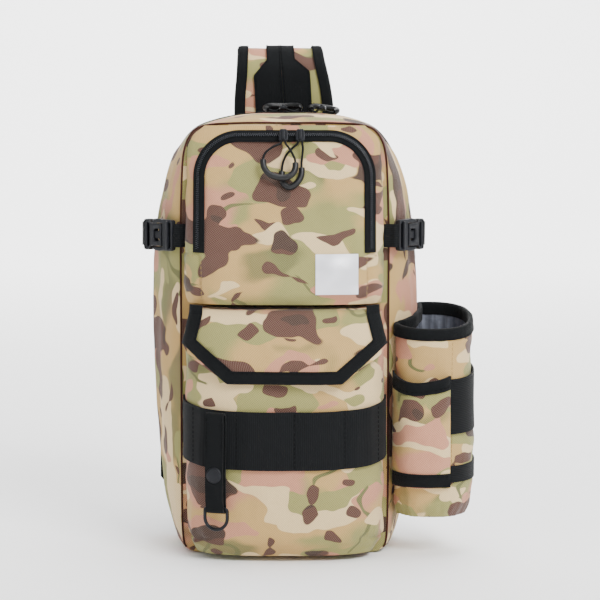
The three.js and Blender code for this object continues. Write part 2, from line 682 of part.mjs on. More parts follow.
// A wire bent round a closed curve, as one ring without ends.
function closedWire(curve, radius, count, sides) {
  const frames = curve.computeFrenetFrames(count, true);
  const points = [];
  const faces = [];
  for (let i = 0; i < count; i++) {
    for (let j = 0; j < sides; j++) {
      const angle = j / sides * Math.PI * 2;
      const point = curve.getPointAt(i / count);
      point.addScaledVector(frames.normals[i], radius * Math.cos(angle));
      points.push(point.addScaledVector(frames.binormals[i], radius * Math.sin(angle)));
      const [here, next] = [i * sides, ((i + 1) % count) * sides];
      const turn = (j + 1) % sides;
      faces.push([here + j, here + turn, next + turn], [here + j, next + turn, next + j]);
    }
  }
  return bodyFrom(points, faces);
}

// The D-ring: a straight bar in the loop's fold, two short legs and a half round.
class RingPath extends THREE.Curve {
  getPoint(t, target = new THREE.Vector3()) {
    const half = (LOOP_WIDTH + RING_WIRE) / 2 + RING_CLEAR;
    const leg = RING_DROP - half;
    const run = t * (2 * half + 2 * leg + Math.PI * half);
    if (run < 2 * half) return target.set(half - run, 0, 0);
    if (run < 2 * half + leg) return target.set(-half, 0, 2 * half - run);
    const turn = (run - 2 * half - leg) / half;
    if (turn < Math.PI) return target.set(-Math.cos(turn) * half, 0, -leg - Math.sin(turn) * half);
    return target.set(half, 0, (turn - Math.PI) * half - leg);
  }
}
add('d_ring', closedWire(new RingPath(), RING_WIRE / 2, 24, 6), darkMetal(), loopGroup);

// Side compression straps, each with a side-release buckle

const BUCKLE_BASE = 12;          // the part of the buckle behind its prongs
const PRONG_WIDTH = 3;
const PRONG_LENGTH = 13;
const BUCKLE_CORNER = 1.5;
const SLOT_HEIGHT = 2.6;         // slots that webbing runs through
const SLOT_EASE = 1.4;
const femaleLength = BUCKLE_LENGTH - BUCKLE_BASE;

// Half outlines of the buckle's two parts: along runs from where they meet and inside is the
// distance from the buckle's full half width.
const FEMALE_OUTLINE = [
  { along: GAP, inside: PRONG_WIDTH + 2 * GAP },
  { along: PRONG_LENGTH + GAP, inside: PRONG_WIDTH + 2 * GAP },
  { along: PRONG_LENGTH + 2, inside: BUCKLE_CORNER / 2 },
  { along: PRONG_LENGTH + 4, inside: 0 },
  { along: femaleLength - BUCKLE_CORNER, inside: 0 },
  { along: femaleLength, inside: BUCKLE_CORNER },
];
const MALE_OUTLINE = [
  { along: -BUCKLE_BASE, inside: BUCKLE_CORNER },
  { along: BUCKLE_CORNER - BUCKLE_BASE, inside: BUCKLE_CORNER / 3 },
  { along: 0, inside: BUCKLE_CORNER / 3 },
  { along: PRONG_LENGTH / 2, inside: 0 },
  { along: PRONG_LENGTH, inside: BUCKLE_CORNER },
  { along: PRONG_LENGTH - 1, inside: PRONG_WIDTH },
  { along: -GAP, inside: PRONG_WIDTH },
];

function buckleShape(outline, slotPlace) {
  const corners = outline.map((row) => new THREE.Vector2(row.along, row.inside - BUCKLE_WIDTH / 2));
  const mirrored = corners.map((point) => new THREE.Vector2(point.x, -point.y)).reverse();
  const shape = new THREE.Shape([...corners, ...mirrored]);
  const slot = roundedRectangle(SLOT_HEIGHT, SIDE_WEBBING + SLOT_EASE, SLOT_EASE / 2).getPoints(1);
  shape.holes.push(new THREE.Path(slot.map((p) => new THREE.Vector2(p.x + slotPlace, p.y))));
  return shape;
}

// Where each buckle stands in plan, and how far it is turned from the front.
const SIDE_STRAPS = {
  left: { side: -1, yaw: 42, x: BODY_WIDTH / 2 - 10, y: FRONT_Y + 4 },
  right: { side: 1, yaw: 50, x: BODY_WIDTH / 2 - 9.5, y: FRONT_Y + 5 },
};

const femaleShape = buckleShape(FEMALE_OUTLINE, femaleLength * 0.84);
const maleShape = buckleShape(MALE_OUTLINE, -BUCKLE_BASE * 0.68);

for (const [name, { side, yaw, x, y }] of Object.entries(SIDE_STRAPS)) {
  const angle = THREE.MathUtils.degToRad(yaw);
  const along = new THREE.Vector2(side * Math.cos(angle), Math.sin(angle));
  const place = (reach) => [side * x + along.x * reach, y + along.y * reach];
  const stand = (geometry) => {
    geometry.rotateX(Math.PI / 2);
    if (side < 0) geometry.rotateZ(Math.PI);
    return geometry.rotateZ(side * angle).translate(side * x, y, SIDE_STRAP_HEIGHT);
  };
  add(`${name}_buckle_male`, stand(plate(maleShape, BUCKLE_THICKNESS * 0.8, 0)), moulded());
  add(`${name}_buckle_female`, stand(plate(femaleShape, BUCKLE_THICKNESS, 0.8)), moulded());
  // Each strap stands off the wall at the depths given here, and bows between them.
  const frontRoute = [
    [side * (FRONT_WIDTH / 2 - WEBBING), FRONT_Y - 4.4],
    [side * (FRONT_WIDTH / 2 + WEBBING), FRONT_Y - 5],
    place(-BUCKLE_BASE - 2 * GAP),
  ];
  const strip = (route) => standingStrip(route, SIDE_WEBBING, SIDE_STRAP_HEIGHT, WEBBING);
  add(`${name}_webbing_front`, strip(frontRoute), blackWebbing());
  const end = place(femaleLength + 2 * GAP);
  const wall = (depth) => sideReach(depth, SIDE_STRAP_HEIGHT - SIDE_WEBBING / 2);
  const rearRoute = [
    end,
    [end[0] + side * 2.5, end[1] + 7],
    [side * (wall(6) + 9), 6],
    [side * (wall(26) + 5), 26],
    [side * (wall(BACK_Y - 2) + WEBBING), BACK_Y - 2],
  ];
  add(`${name}_webbing_rear`, strip(rearRoute), blackWebbing());
}

// Bottle holder on the +X side, a rounded tube flattened against the side wall

const BOTTLE_Y = -22;
const BOTTLE_ROUND = 2.4;
const BOTTLE_SEAT = 3.4;
const BOTTLE_LAYERS = 2.4;
const bottleX = BODY_WIDTH / 2 + BOTTLE_WIDTH / 2 - 24;
const pipingReach = FRONT_WIDTH / 2 + 2 * PIPING_RADIUS;

function bottleAt(turn, rise, lift = 0) {
  const angle = turn * Math.PI * 2;
  const width = tableAt(BOTTLE_SECTIONS, 'rise', rise, 'width');
  const round = (value) => Math.sign(value) * Math.abs(value) ** (2 / BOTTLE_ROUND);
  const across = round(Math.cos(angle));
  const deep = round(Math.sin(angle));
  const y = BOTTLE_Y + deep * (BOTTLE_DEPTH / 2 * width + lift);
  const z = BOTTLE_BASE + rise * BOTTLE_HEIGHT + deep * rise * BOTTLE_TILT / 2;
  const wall = y > FRONT_Y ? sideReach(Math.min(y, BACK_Y), z) : 0;
  const edge = y < FRONT_Y + 2 ? pipingReach : 0;
  const limit = Math.max(wall, edge) + GAP + BOTTLE_SEAT - Math.min(lift, BOTTLE_LAYERS);
  return new THREE.Vector3(Math.max(limit, bottleX + across * (BOTTLE_WIDTH / 2 * width + lift)), y, z);
}

const bottleTurns = steps(0, 1, 20).slice(0, -1);
const bottleRises = BOTTLE_SECTIONS.map((row) => row.rise);

// A cup that follows the holder, with its own outside, wall and floor.
function cup(out, wall, floor, rim) {
  const inRange = (rise, low) => THREE.MathUtils.clamp(rise, low, 1);
  const outer = bottleRises.map((rise) => bottleTurns.map((turn) => {
    const point = bottleAt(turn, inRange(rise, floor / BOTTLE_HEIGHT), out);
    return point.setZ(rise === 1 ? point.z - rim : point.z);
  }));
  const inner = bottleRises.map((rise) => bottleTurns.map((turn) => {
    const point = bottleAt(turn, inRange(rise, (floor + wall) / BOTTLE_HEIGHT), out - wall);
    return point.setZ(rise === 1 ? point.z + wall : point.z);
  }));
  return cut(loft(outer), loft(inner));
}

add('bottle_pocket', cup(0, POCKET_WALL, 0, 0), camouflage());
const liningOut = -POCKET_WALL - 2 * GAP;
add('bottle_lining', cup(liningOut, LINING_WALL, POCKET_WALL + GAP, 1), silverLining());

const rimRises = [1 - RIM_BINDING / BOTTLE_HEIGHT, 1];
add('bottle_rim_binding', layer(bottleAt, bottleTurns, rimRises, ...tapeLift, true), blackCloth());

// The flat tool pocket bulges from the holder's front, closed at its sides and foot.
const TOOL_TURNS = [0.575, 0.8];
const TOOL_OPENING = 1.6;        // how soon above its foot the pocket has its full bulge
const toolRise = (height) => (height - BOTTLE_BASE) / BOTTLE_HEIGHT;
const toolRises = steps(toolRise(TOOL_BASE), toolRise(TOOL_BASE + TOOL_HEIGHT), 4);

function toolAt(turn, rise, lift) {
  const across = THREE.MathUtils.clamp((turn - TOOL_TURNS[0]) / (TOOL_TURNS[1] - TOOL_TURNS[0]), 0, 1);
  const up = (rise - toolRises[0]) / (toolRises[toolRises.length - 1] - toolRises[0]);
  const open = Math.sin(Math.PI / 2 * Math.min(1, up * TOOL_OPENING)) ** 0.7;
  const bulge = TOOL_BULGE * open * Math.sin(Math.PI * across) ** 0.6;
  const point = bottleAt(turn, rise, lift);
  return point.setY(point.y - bulge);
}

const toolTurns = steps(...TOOL_TURNS, 12);
add('tool_pocket', layer(toolAt, toolTurns, toolRises, SEAT, SEAT + POCKET_WALL), camouflage());
const toolTop = toolRises[toolRises.length - 1];
const toolBindingRises = [toolTop - RIM_BINDING / BOTTLE_HEIGHT, toolTop];
const toolBindingLift = SEAT + POCKET_WALL + SEAT;
const toolBinding = [toolBindingLift, toolBindingLift + TAPE_THICKNESS];
add('tool_top_binding', layer(toolAt, toolTurns, toolBindingRises, ...toolBinding), blackCloth());

// Elastic bands round the outside of the holder
const SIDE_BAND_BASE = 105;
const SIDE_BAND_HEIGHT = 50;
const LOWER_BAND_BASE = 62;
const LOWER_BAND_HEIGHT = 14;
const bandTurns = steps(TOOL_TURNS[1] + 0.008, 1.2, 12);
const sideBandRises = steps(toolRise(SIDE_BAND_BASE), toolRise(SIDE_BAND_BASE + SIDE_BAND_HEIGHT), 2);
add('side_elastic_band', layer(bottleAt, bandTurns, sideBandRises, ...tapeLift), blackWebbing());
const lowerBandRises = steps(toolRise(LOWER_BAND_BASE), toolRise(LOWER_BAND_BASE + LOWER_BAND_HEIGHT), 1);
add('lower_elastic_band', layer(bottleAt, bandTurns, lowerBandRises, ...tapeLift), blackWebbing());

// Shoulder strap

const strapSeatY = PANEL_FACE_Y + GAP + WEBBING + 2 * SEAT;
const strapPoints = STRAP_ROUTE.map(({ across, behind, rise }) => (
  new THREE.Vector3(across * BODY_WIDTH, strapSeatY + behind * STRAP_BOW, rise * BODY_HEIGHT)));
const strapCurve = new THREE.CatmullRomCurve3(strapPoints, false, 'centripetal');

// The directions of a ribbon that follows a curve: along it, across it and off its face.
function ribbonFrame(curve, place) {
  const forward = curve.getTangentAt(place);
  const side = new THREE.Vector3(1, 0, 0).addScaledVector(forward, -forward.x).normalize();
  return { forward, side, out: new THREE.Vector3().crossVectors(side, forward) };
}

// The face of such a ribbon: x across it and lift off it.
function ribbon(curve) {
  return (place, x, lift) => {
    const { side, out } = ribbonFrame(curve, place);
    return curve.getPointAt(place).addScaledVector(side, x).addScaledVector(out, lift);
  };
}
const strapAt = ribbon(strapCurve);

const strapHalf = (along, column) => tableAt(STRAP_ROWS, 'along', along, column) * PAD_WIDTH / 2;
// The pad's section, as shares of its half width and thickness
const PAD_SECTION = [
  { across: -1, deep: -0.4 },
  { across: -0.95, deep: -0.85 },
  { across: -0.8, deep: -1 },
  { across: 0.8, deep: -1 },
  { across: 0.95, deep: -0.85 },
  { across: 1, deep: -0.4 },
  { across: 0.985, deep: 0 },
  { across: 0.4, deep: 0 },
  { across: -0.4, deep: 0 },
  { across: -0.985, deep: 0 },
];
const FOLD = [0.13, 0.29];        // the stretch of the strap that folds over, in shares of its length
const foldPlaces = steps(...FOLD, 12).slice(1, -1);
const strapPlaces = [...steps(0, FOLD[0], 3), ...foldPlaces, ...steps(FOLD[1], 1, 15)];
const padRings = strapPlaces.map((along) => PAD_SECTION.map(({ across, deep }) => (
  strapAt(along, across * strapHalf(along, 'pad'), deep * PAD_THICKNESS))));
add('shoulder_strap', loft(padRings), camouflage());

function strapBinding(side) {
  const surface = (along, inset, lift) => strapAt(along, side * (strapHalf(along, 'pad') - inset), lift);
  return layer(surface, strapPlaces, [1, 1 + PAD_BINDING], SEAT, SEAT + TAPE_THICKNESS);
}
add('strap_binding_left', strapBinding(-1), blackCloth());
add('strap_binding_right', strapBinding(1), blackCloth());
const strapWebbing = (along, share, lift) => strapAt(along, share * strapHalf(along, 'webbing'), lift);
const topWebbing = layer(strapWebbing, strapPlaces, [-1, 1], 2 * SEAT, 2 * SEAT + WEBBING);
add('strap_top_webbing', topWebbing, blackWebbing());

// Lower end of the strap: a ladder buckle, its webbing and the wing sewn to the back
const WING_THICKNESS = 3;
const WING_WIDTH = 32;
const WING_HEIGHT = 70;
const WING_X = 23 - BODY_WIDTH / 2;
const WING_Z = 64;
const ADJUSTER_WIDTH = 32;
const ADJUSTER_LENGTH = 26;
const ADJUSTER_THICKNESS = 5;
const ADJUSTER_SLOT = 5;
const STRAP_WEBBING_WIDTH = 25;

// Corners of the wing, as shares of its width and height from its place
const WING_CORNERS = [
  { across: 0.375, rise: -0.486 },
  { across: 0.375, rise: 0.514 },
  { across: -0.0625, rise: 0.514 },
  { across: -0.625, rise: 0.214 },
  { across: -0.625, rise: -0.186 },
  { across: -0.125, rise: -0.486 },
];
const wingShape = new THREE.Shape(WING_CORNERS.map(({ across, rise }) => (
  new THREE.Vector2(across * WING_WIDTH, rise * WING_HEIGHT))));
const wing = plate(wingShape, WING_THICKNESS, 0).rotateX(Math.PI / 2);
wing.translate(WING_X, PANEL_FACE_Y + GAP + WING_THICKNESS / 2, WING_Z);
add('anchor_wing', wing, blackCloth());

const adjusterShape = roundedRectangle(ADJUSTER_LENGTH, ADJUSTER_WIDTH, 3);
for (const place of [-0.27, 0.27]) {
  const slot = roundedRectangle(ADJUSTER_SLOT, STRAP_WEBBING_WIDTH + 1, 1).getPoints(1);
  const moved = slot.map((p) => new THREE.Vector2(p.x + place * ADJUSTER_LENGTH, p.y));
  adjusterShape.holes.push(new THREE.Path(moved));
}
const adjuster = plate(adjusterShape, ADJUSTER_THICKNESS, 0, 2);
const { forward: strapForward, side: strapSide, out: strapOut } = ribbonFrame(strapCurve, 1);
const adjusterMiddle = strapCurve.getPointAt(1).addScaledVector(strapForward, ADJUSTER_LENGTH / 2 + GAP);
adjusterMiddle.addScaledVector(strapOut, -PAD_THICKNESS / 2);
adjuster.applyMatrix4(new THREE.Matrix4().makeBasis(strapForward, strapSide, strapOut.clone().negate()));
adjuster.translate(...adjusterMiddle.toArray());
add('strap_adjuster', adjuster, moulded());

const tailStart = adjusterMiddle.clone().addScaledVector(strapForward, ADJUSTER_LENGTH / 2 + GAP);
const wingFace = PANEL_FACE_Y + GAP + WING_THICKNESS + GAP + WEBBING / 2;
const tailCurve = new THREE.CatmullRomCurve3([
  tailStart,
  tailStart.clone().addScaledVector(strapForward, 9),
  new THREE.Vector3(WING_X - 4, wingFace + 9, WING_Z - 24),
  new THREE.Vector3(WING_X - 5, wingFace + 1, WING_Z - 12),
  new THREE.Vector3(WING_X - 5, wingFace, WING_Z + 6),
], false, 'centripetal');

const tailAcross = [-STRAP_WEBBING_WIDTH / 2, STRAP_WEBBING_WIDTH / 2];
const tail = layer(ribbon(tailCurve), steps(0, 1, 16), tailAcross, -WEBBING / 2, WEBBING / 2);
add('strap_tail_webbing', tail, blackWebbing());

// Zip sliders and pulls

const SLIDER_CORNER = 2;
const CORD_SPREAD = 1.7;         // from the middle of a slider to each leg of its cord
const CORD_LEAD = 1.5;           // how far a cord runs straight out of its slider
const sliderLift = coilHigh + GAP + SLIDER_THICKNESS / 2;

// A slider lies along the direction in which its pull hangs. The cord leaves its end.
function addPull(place, side, middle, direction, { gripStart, gripEnd, route }, toPoint) {
  const block = plate(roundedRectangle(SLIDER_WIDTH, SLIDER_LENGTH, SLIDER_CORNER), SLIDER_THICKNESS, 0, 2);
  const across = new THREE.Vector3(1, 0, 0);
  const up = new THREE.Vector3().crossVectors(across, direction);
  block.applyMatrix4(new THREE.Matrix4().makeBasis(across, direction, up));
  add(`${place}_slider_${side}`, block.translate(...middle.toArray()), darkMetal());

  const foot = middle.clone().addScaledVector(direction, SLIDER_LENGTH / 2 + GAP);
  const points = route.map(toPoint);
  const turn = Math.sign(points[0].x - middle.x) * CORD_SPREAD;
  const leg = (aside, down) => foot.clone().addScaledVector(across, aside).addScaledVector(direction, down);
  const ends = [leg(turn, 0), leg(turn, CORD_LEAD), ...points, leg(-turn, CORD_LEAD), leg(-turn, 0)];
  const curve = new THREE.CatmullRomCurve3(ends, false, 'centripetal');
  const ease = GAP / curve.getLength();
  const legs = [
    [`${place}_pull_cord_down_${side}`, 0, gripStart - ease],
    [`${place}_pull_cord_up_${side}`, gripEnd + ease, 1],
  ];
  for (const [name, from, to] of legs) {
    add(name, tube(new Stretch(curve, from, to), CORD_RADIUS, 6, 6), blackWebbing());
  }
  const grip = tube(new Stretch(curve, gripStart, gripEnd), GRIP_RADIUS, 9);
  add(`${place}_pull_grip_${side}`, grip, rubber());
}

const slant = (angle) => new THREE.Vector3(0, Math.cos(angle), Math.sin(angle));
const UPPER_SLANT = -1.95;       // the upper zip's sliders lean with the pocket's top
const UPPER_SLIDER_LIFT = 0.2;   // over the bend of the coil
const TOP_SLANT = -0.17;         // the top falls a little towards the back
const coilMiddle = DOME_TOP - COIL_EDGE - DOME_COIL / 2;
const onPocket = ([x, z, lift]) => upper.front(x, z, lift);
const onTop = ([x, y, lift]) => new THREE.Vector3(x, y, bodyAt(0.5, y).z + lift);
for (const [side, row] of Object.entries(UPPER_PULLS)) {
  const middle = onPocket([row.slider, coilMiddle, sliderLift + UPPER_SLIDER_LIFT]);
  addPull('upper', side, middle, slant(UPPER_SLANT), row, onPocket);
}
for (const [side, row] of Object.entries(TOP_PULLS)) {
  addPull('main', side, onTop([row.slider, MAIN_ZIP_PLACE, sliderLift]), slant(TOP_SLANT), row, onTop);
}

export default bag;
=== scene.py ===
import math

import bmesh
import bpy
from bpy.props import FloatProperty, FloatVectorProperty, PointerProperty
from mathutils import Matrix, Vector, noise


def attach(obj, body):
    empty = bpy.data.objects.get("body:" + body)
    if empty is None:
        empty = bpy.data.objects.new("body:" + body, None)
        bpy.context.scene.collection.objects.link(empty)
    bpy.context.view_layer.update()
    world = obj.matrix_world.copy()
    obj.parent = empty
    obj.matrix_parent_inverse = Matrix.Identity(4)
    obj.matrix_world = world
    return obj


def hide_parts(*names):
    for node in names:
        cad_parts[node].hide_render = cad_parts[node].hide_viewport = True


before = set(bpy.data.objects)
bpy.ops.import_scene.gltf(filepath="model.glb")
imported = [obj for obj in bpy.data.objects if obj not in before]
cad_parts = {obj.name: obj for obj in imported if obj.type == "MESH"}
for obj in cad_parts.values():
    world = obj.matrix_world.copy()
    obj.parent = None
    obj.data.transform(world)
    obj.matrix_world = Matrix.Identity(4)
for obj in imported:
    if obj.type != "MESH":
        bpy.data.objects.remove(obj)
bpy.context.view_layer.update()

bl_info = {
    "name": "Fishing tackle sling bag",
    "version": (1, 0, 0),
    "blender": (4, 5, 0),
    "location": "View3D > Sidebar > Sling bag",
    "description": "Builds a camouflage sling bag for fishing tackle, piece by piece",
    "category": "Add Mesh",
}

ACROSS = Vector((1, 0, 0))
UP = Vector((0, 0, 1))
FRONT = Vector((0, -1, 0))

# Clearances and thicknesses, in metres
GAP = 0.0003
SEAT = 0.0005
WEBBING = 0.0016
PANEL_THICKNESS = 0.012
PIPING = 0.0012
# Zips: the two runs are shares of the way round the main compartment
PIPING_RUN = (5 / 44, 39 / 44)
MAIN_ZIP_RUN = (12 / 44, 37 / 44)
MAIN_ZIP_PLACE = 0.012
MAIN_TAPE = 0.016
MAIN_COIL = 0.006
MAIN_COIL_INSET = 0.005
MAIN_COIL_LIFT = 0.0014
COIL_EDGE = 0.0015
COIL = 0.0038
DOME_TAPE = 0.010
DOME_RADIUS = 0.040
DOME_WIDTH = 0.157
# Shares of the upper pocket's height: foot and top of its zip, base of its label
DOME_FOOT = 0.29
DOME_TOP = 0.975
LABEL_BASE = 0.06
LABEL_LEFT = 0.0265
# Pockets and flap: exponent of their rounding, x of their seams
BULGE = 2.8
SIDE_SEAM = 0.0735
SIDE_STITCH = 0.0712
POCKET_GAP = 0.008
BAND_SEAMS = (-0.0400, 0.0085, 0.0505, 0.0790, -0.0770)
FLAP_EASE = 0.004
FLAP_CLOTH = 0.0022
# Hanging loop, its snap and its ring
LOOP_X = -0.057
LOOP_DROP = 0.082
LOOP_WIDTH = 0.016
LOOP_TOP = 0.131
LOOP_FOLD = 0.0031
LOOP_YAW = math.radians(-20)
SNAP_RISE = 0.36
RING_WIRE = 0.0015
RING_DROP = 0.018
# Side straps and their buckles
STRAP_HEIGHT = 0.279
SIDE_WEBBING = 0.020
BUCKLE_HALF = 0.0135
# Bottle holder and the tool pocket on it
BOTTLE_Y = -0.022
BOTTLE_OVERLAP = 0.024
BOTTLE_BULGE = 2.4
TOOL_BASE = 0.062
TOOL_TOP = 0.164
TOOL_HEIGHT = 0.102
TOOL_TURNS = (0.572, 0.803)
SEAM_TURN = 0.815
RIM_TAPE = 0.0105
# name, base, height, plain node
HOLDER_BANDS = [
    ("side_band", 0.111, 0.050, "side_elastic_band"),
    ("lower_band", 0.067, 0.015, "lower_elastic_band"),
]
BAND_TURNS = (0.806, 1.2)
# Lower end of the shoulder strap
ADJUSTER = (0.026, 0.032)
WING = (0.032, 0.070)
WING_INSET = 0.0205
WING_HEIGHT = 0.064
# Zip pulls
UPPER_SLIDER = (0.3662, 0.00695, -1.95)
MAIN_SLIDER = (0.00675, -0.17)
TUBE_RADIUS = 0.0027
CORD_RADIUS = 0.001
# Studio
CAMERA_TARGET = Vector((0.0133, 0, 0.2185))
CAMERA_ELEVATION = math.radians(5.5)
CAMERA_DISTANCE = 2.1
CAMERA_LENS = 142
WORLD_LIGHT = 0.8
LIGHT_TARGET = (0, 0, 0.2)
# name, place, target, width, height, power
LIGHTS = [
    ("key", (1.2, -1.9, 1.9), LIGHT_TARGET, 1.0, 1.0, 95),
    ("fill", (-1.8, -1.7, 0.8), LIGHT_TARGET, 1.6, 1.6, 9),
    ("top", (0.3, 0.1, 2.2), LIGHT_TARGET, 1.4, 1.4, 38),
    ("back", (0, 2.8, 3.4), (0, 5.0, 0.6), 4.0, 1.6, 420),
]
FLOOR_Z = -0.0005
FLOOR_FRONT = -6.0
FLOOR_BACK = 3.0
FLOOR_HALF = 6
SWEEP_RADIUS = 2
SWEEP_TOP = 8.0

# Half of the main compartment's outline, from the middle of the base to the middle of the top:
# shares of the half width and the height, for the widest section and for the front panel.
OUTLINE = [
    (0, 0, 0, 0), (0.39, 0, 0.47, 0), (0.73, 0, 0.82, 0), (0.83, 0.02, 0.945, 0.01),
    (0.88, 0.078, 0.99, 0.043), (0.93, 0.18, 1, 0.16), (0.974, 0.34, 1, 0.346),
    (1, 0.56, 1, 0.572), (0.974, 0.716, 1, 0.731), (0.913, 0.828, 0.99, 0.851),
    (0.817, 0.91, 0.965, 0.935), (0.696, 0.962, 0.885, 0.978), (0.52, 0.985, 0.74, 0.995),
    (0.28, 0.998, 0.4, 1), (0, 1, 0, 1),
]
# depth, spread from the front outline to the widest one, rise
GUSSET = [
    (-0.5, 0, 1), (-0.42, 0.35, 1), (-0.26, 0.75, 1), (0, 1, 1),
    (0.26, 1, 0.99), (0.42, 0.97, 0.983), (0.5, 0.9, 0.976),
]
# rise, width, depth
UPPER_SECTIONS = [
    (0, 0.97, 0.8), (0.03, 0.99, 0.95), (0.09, 1, 1), (0.22, 1, 0.96), (0.35, 1, 0.86),
    (0.6, 1, 0.6), (0.86, 0.975, 0.31), (0.94, 0.93, 0.22), (0.98, 0.86, 0.15), (1, 0.76, 0.07),
]
LOWER_SECTIONS = [
    (0, 0.88, 0.66), (0.03, 0.95, 0.82), (0.09, 0.99, 0.92), (0.22, 1, 0.98),
    (0.45, 1, 1), (0.7, 0.995, 0.97), (0.88, 0.985, 0.88), (1, 0.97, 0.76),
]
# place, drop, width, reach, up, edge
FLAP_ROWS = [
    (-0.7, -0.04, 0.94, 0, 1, 1), (-0.35, -0.045, 0.94, 0.5, 1, 1),
    (-0.06, -0.035, 0.942, 0.9, 0.8, 1), (0, 0, 0.945, 0.97, 0.3, 1),
    (0.08, 0.08, 0.96, 1, 0, 1), (0.28, 0.28, 1.0, 1, 0, 1), (0.45, 0.45, 1.02, 1, 0, 1.15),
    (0.6, 0.6, 0.96, 1, 0, 1.6), (0.8, 0.8, 0.755, 1, 0, 1.8), (1, 1, 0.55, 1, 0, 1.8),
]
# rise, width
BOTTLE_SECTIONS = [
    (0, 0.8), (0.03, 0.93), (0.09, 0.985), (0.17, 1), (0.45, 1), (0.75, 0.99), (0.9, 0.98),
    (1, 0.97),
]
# along, half width of the pad, half width of its webbing
STRAP_ROWS = [
    (0, 1, 0.58), (0.12, 1, 0.58), (0.165, 0.91, 0.58), (0.19, 0.87, 0.29), (0.25, 0.84, 0.28),
    (0.6, 0.76, 0.28), (0.92, 0.68, 0.28), (1, 0.5, 0.28),
]
# across, behind, rise
STRAP_ROUTE = [
    (-0.004, 0, 0.88), (-0.004, 0, 0.97), (-0.01, 0.015, 1.055), (-0.017, 0.055, 1.112),
    (-0.022, 0.2, 1.15), (-0.026, 0.375, 1.12), (-0.03, 0.49, 1.055), (-0.044, 0.68, 0.925),
    (-0.07, 0.88, 0.78), (-0.113, 1, 0.625), (-0.174, 0.98, 0.48), (-0.243, 0.82, 0.35),
    (-0.304, 0.59, 0.255),
]
# Rows of the back padding: how far past the wall, share of its thickness
PADDING_ROWS = [
    (-0.007, 0), (-0.0052, 0.12), (-0.0045, 0.3), (-0.0048, 0.6), (-0.006, 0.8), (-0.008, 0.93),
    (-0.012, 1),
]
# Section of a tape folded over an edge: how far in from the edge, as a share of its width,
# and which face of the cloth it lies on
FOLDED_TAPE = [
    (1, 1), (0.75, 1), (0.5, 1), (0.25, 1), (0.05, 0.9), (-0.06, 0.3), (-0.06, -0.3), (0.05, -0.9),
    (0.5, -1), (1, -1),
]
FOLDED_RIM = [
    (1, 1), (0.7, 1), (0.4, 1), (0.1, 0.95), (-0.03, 0.3), (-0.03, -0.5), (0.1, -1), (0.5, -1),
    (1, -1),
]
# Section of the pad's edge tape: inset from the pad's edge, lift off its face
PAD_TAPE = [
    (-0.0009, -0.0052), (-0.0012, -0.0020), (-0.0002, 0.0006), (0.0016, 0.0013), (0.0045, 0.0014),
    (0.0075, 0.0013), (0.0088, 0.0011),
]
# Section of the pad: shares of its half width and its thickness
PAD_SECTION = [
    (-1, -0.35), (-1.005, -0.55), (-0.985, -0.75), (-0.94, -0.9), (-0.86, -0.98), (-0.7, -1.02),
    (-0.35, -1.05), (0, -1.05), (0.35, -1.05), (0.7, -1.02), (0.86, -0.98), (0.94, -0.9),
    (0.985, -0.75), (1.005, -0.55), (1, -0.35), (0.99, -0.05), (0.93, 0), (0.8, 0), (0.6, 0.02),
    (0.4, 0.02), (0.2, 0), (-0.2, 0), (-0.4, 0.02), (-0.6, 0.02), (-0.8, 0), (-0.93, 0),
    (-0.99, -0.05),
]
# Half profile of the snap: radius, height
SNAP_PROFILE = [
    (0.0071, 0), (0.0071, 0.0005), (0.0069, 0.0012), (0.0062, 0.0018), (0.0052, 0.0021),
    (0.0049, 0.0019), (0.0030, 0.0021), (0.0004, 0.0022),
]
# Half outlines of the buckle's two pieces: along the strap, across it
SOCKET = [
    (0.0003, -0.0098), (0.0115, -0.0098), (0.0135, -0.0104), (0.0150, -0.0128),
    (0.0162, -BUCKLE_HALF), (0.0200, -BUCKLE_HALF), (0.0214, -BUCKLE_HALF + 0.0006),
    (0.0220, -BUCKLE_HALF + 0.002),
]
PRONGS = [
    (-0.0120, -BUCKLE_HALF + 0.002), (-0.0114, -BUCKLE_HALF + 0.0006), (-0.0100, -BUCKLE_HALF),
    (-0.0010, -BUCKLE_HALF), (0.0040, -BUCKLE_HALF - 0.0006), (0.0085, -BUCKLE_HALF - 0.0002),
    (0.0118, -BUCKLE_HALF + 0.0010), (0.0128, -BUCKLE_HALF + 0.0022),
    (0.0116, -BUCKLE_HALF + 0.0031), (0.0020, -BUCKLE_HALF + 0.0031),
    (-0.0003, -BUCKLE_HALF + 0.0033),
]
# Outline of the wing: shares of its width and height
WING_OUTLINE = [
    (0.375, -0.486), (0.375, 0.514), (-0.0625, 0.514), (-0.625, 0.214), (-0.625, -0.186),
    (-0.125, -0.486),
]
SLIDER_OUTLINE = [
    (-0.0026, -0.0055), (0.0026, -0.0055), (0.0040, -0.0020), (0.0040, 0.0040), (0.0030, 0.0055),
    (-0.0030, 0.0055), (-0.0040, 0.0040), (-0.0040, -0.0020),
]
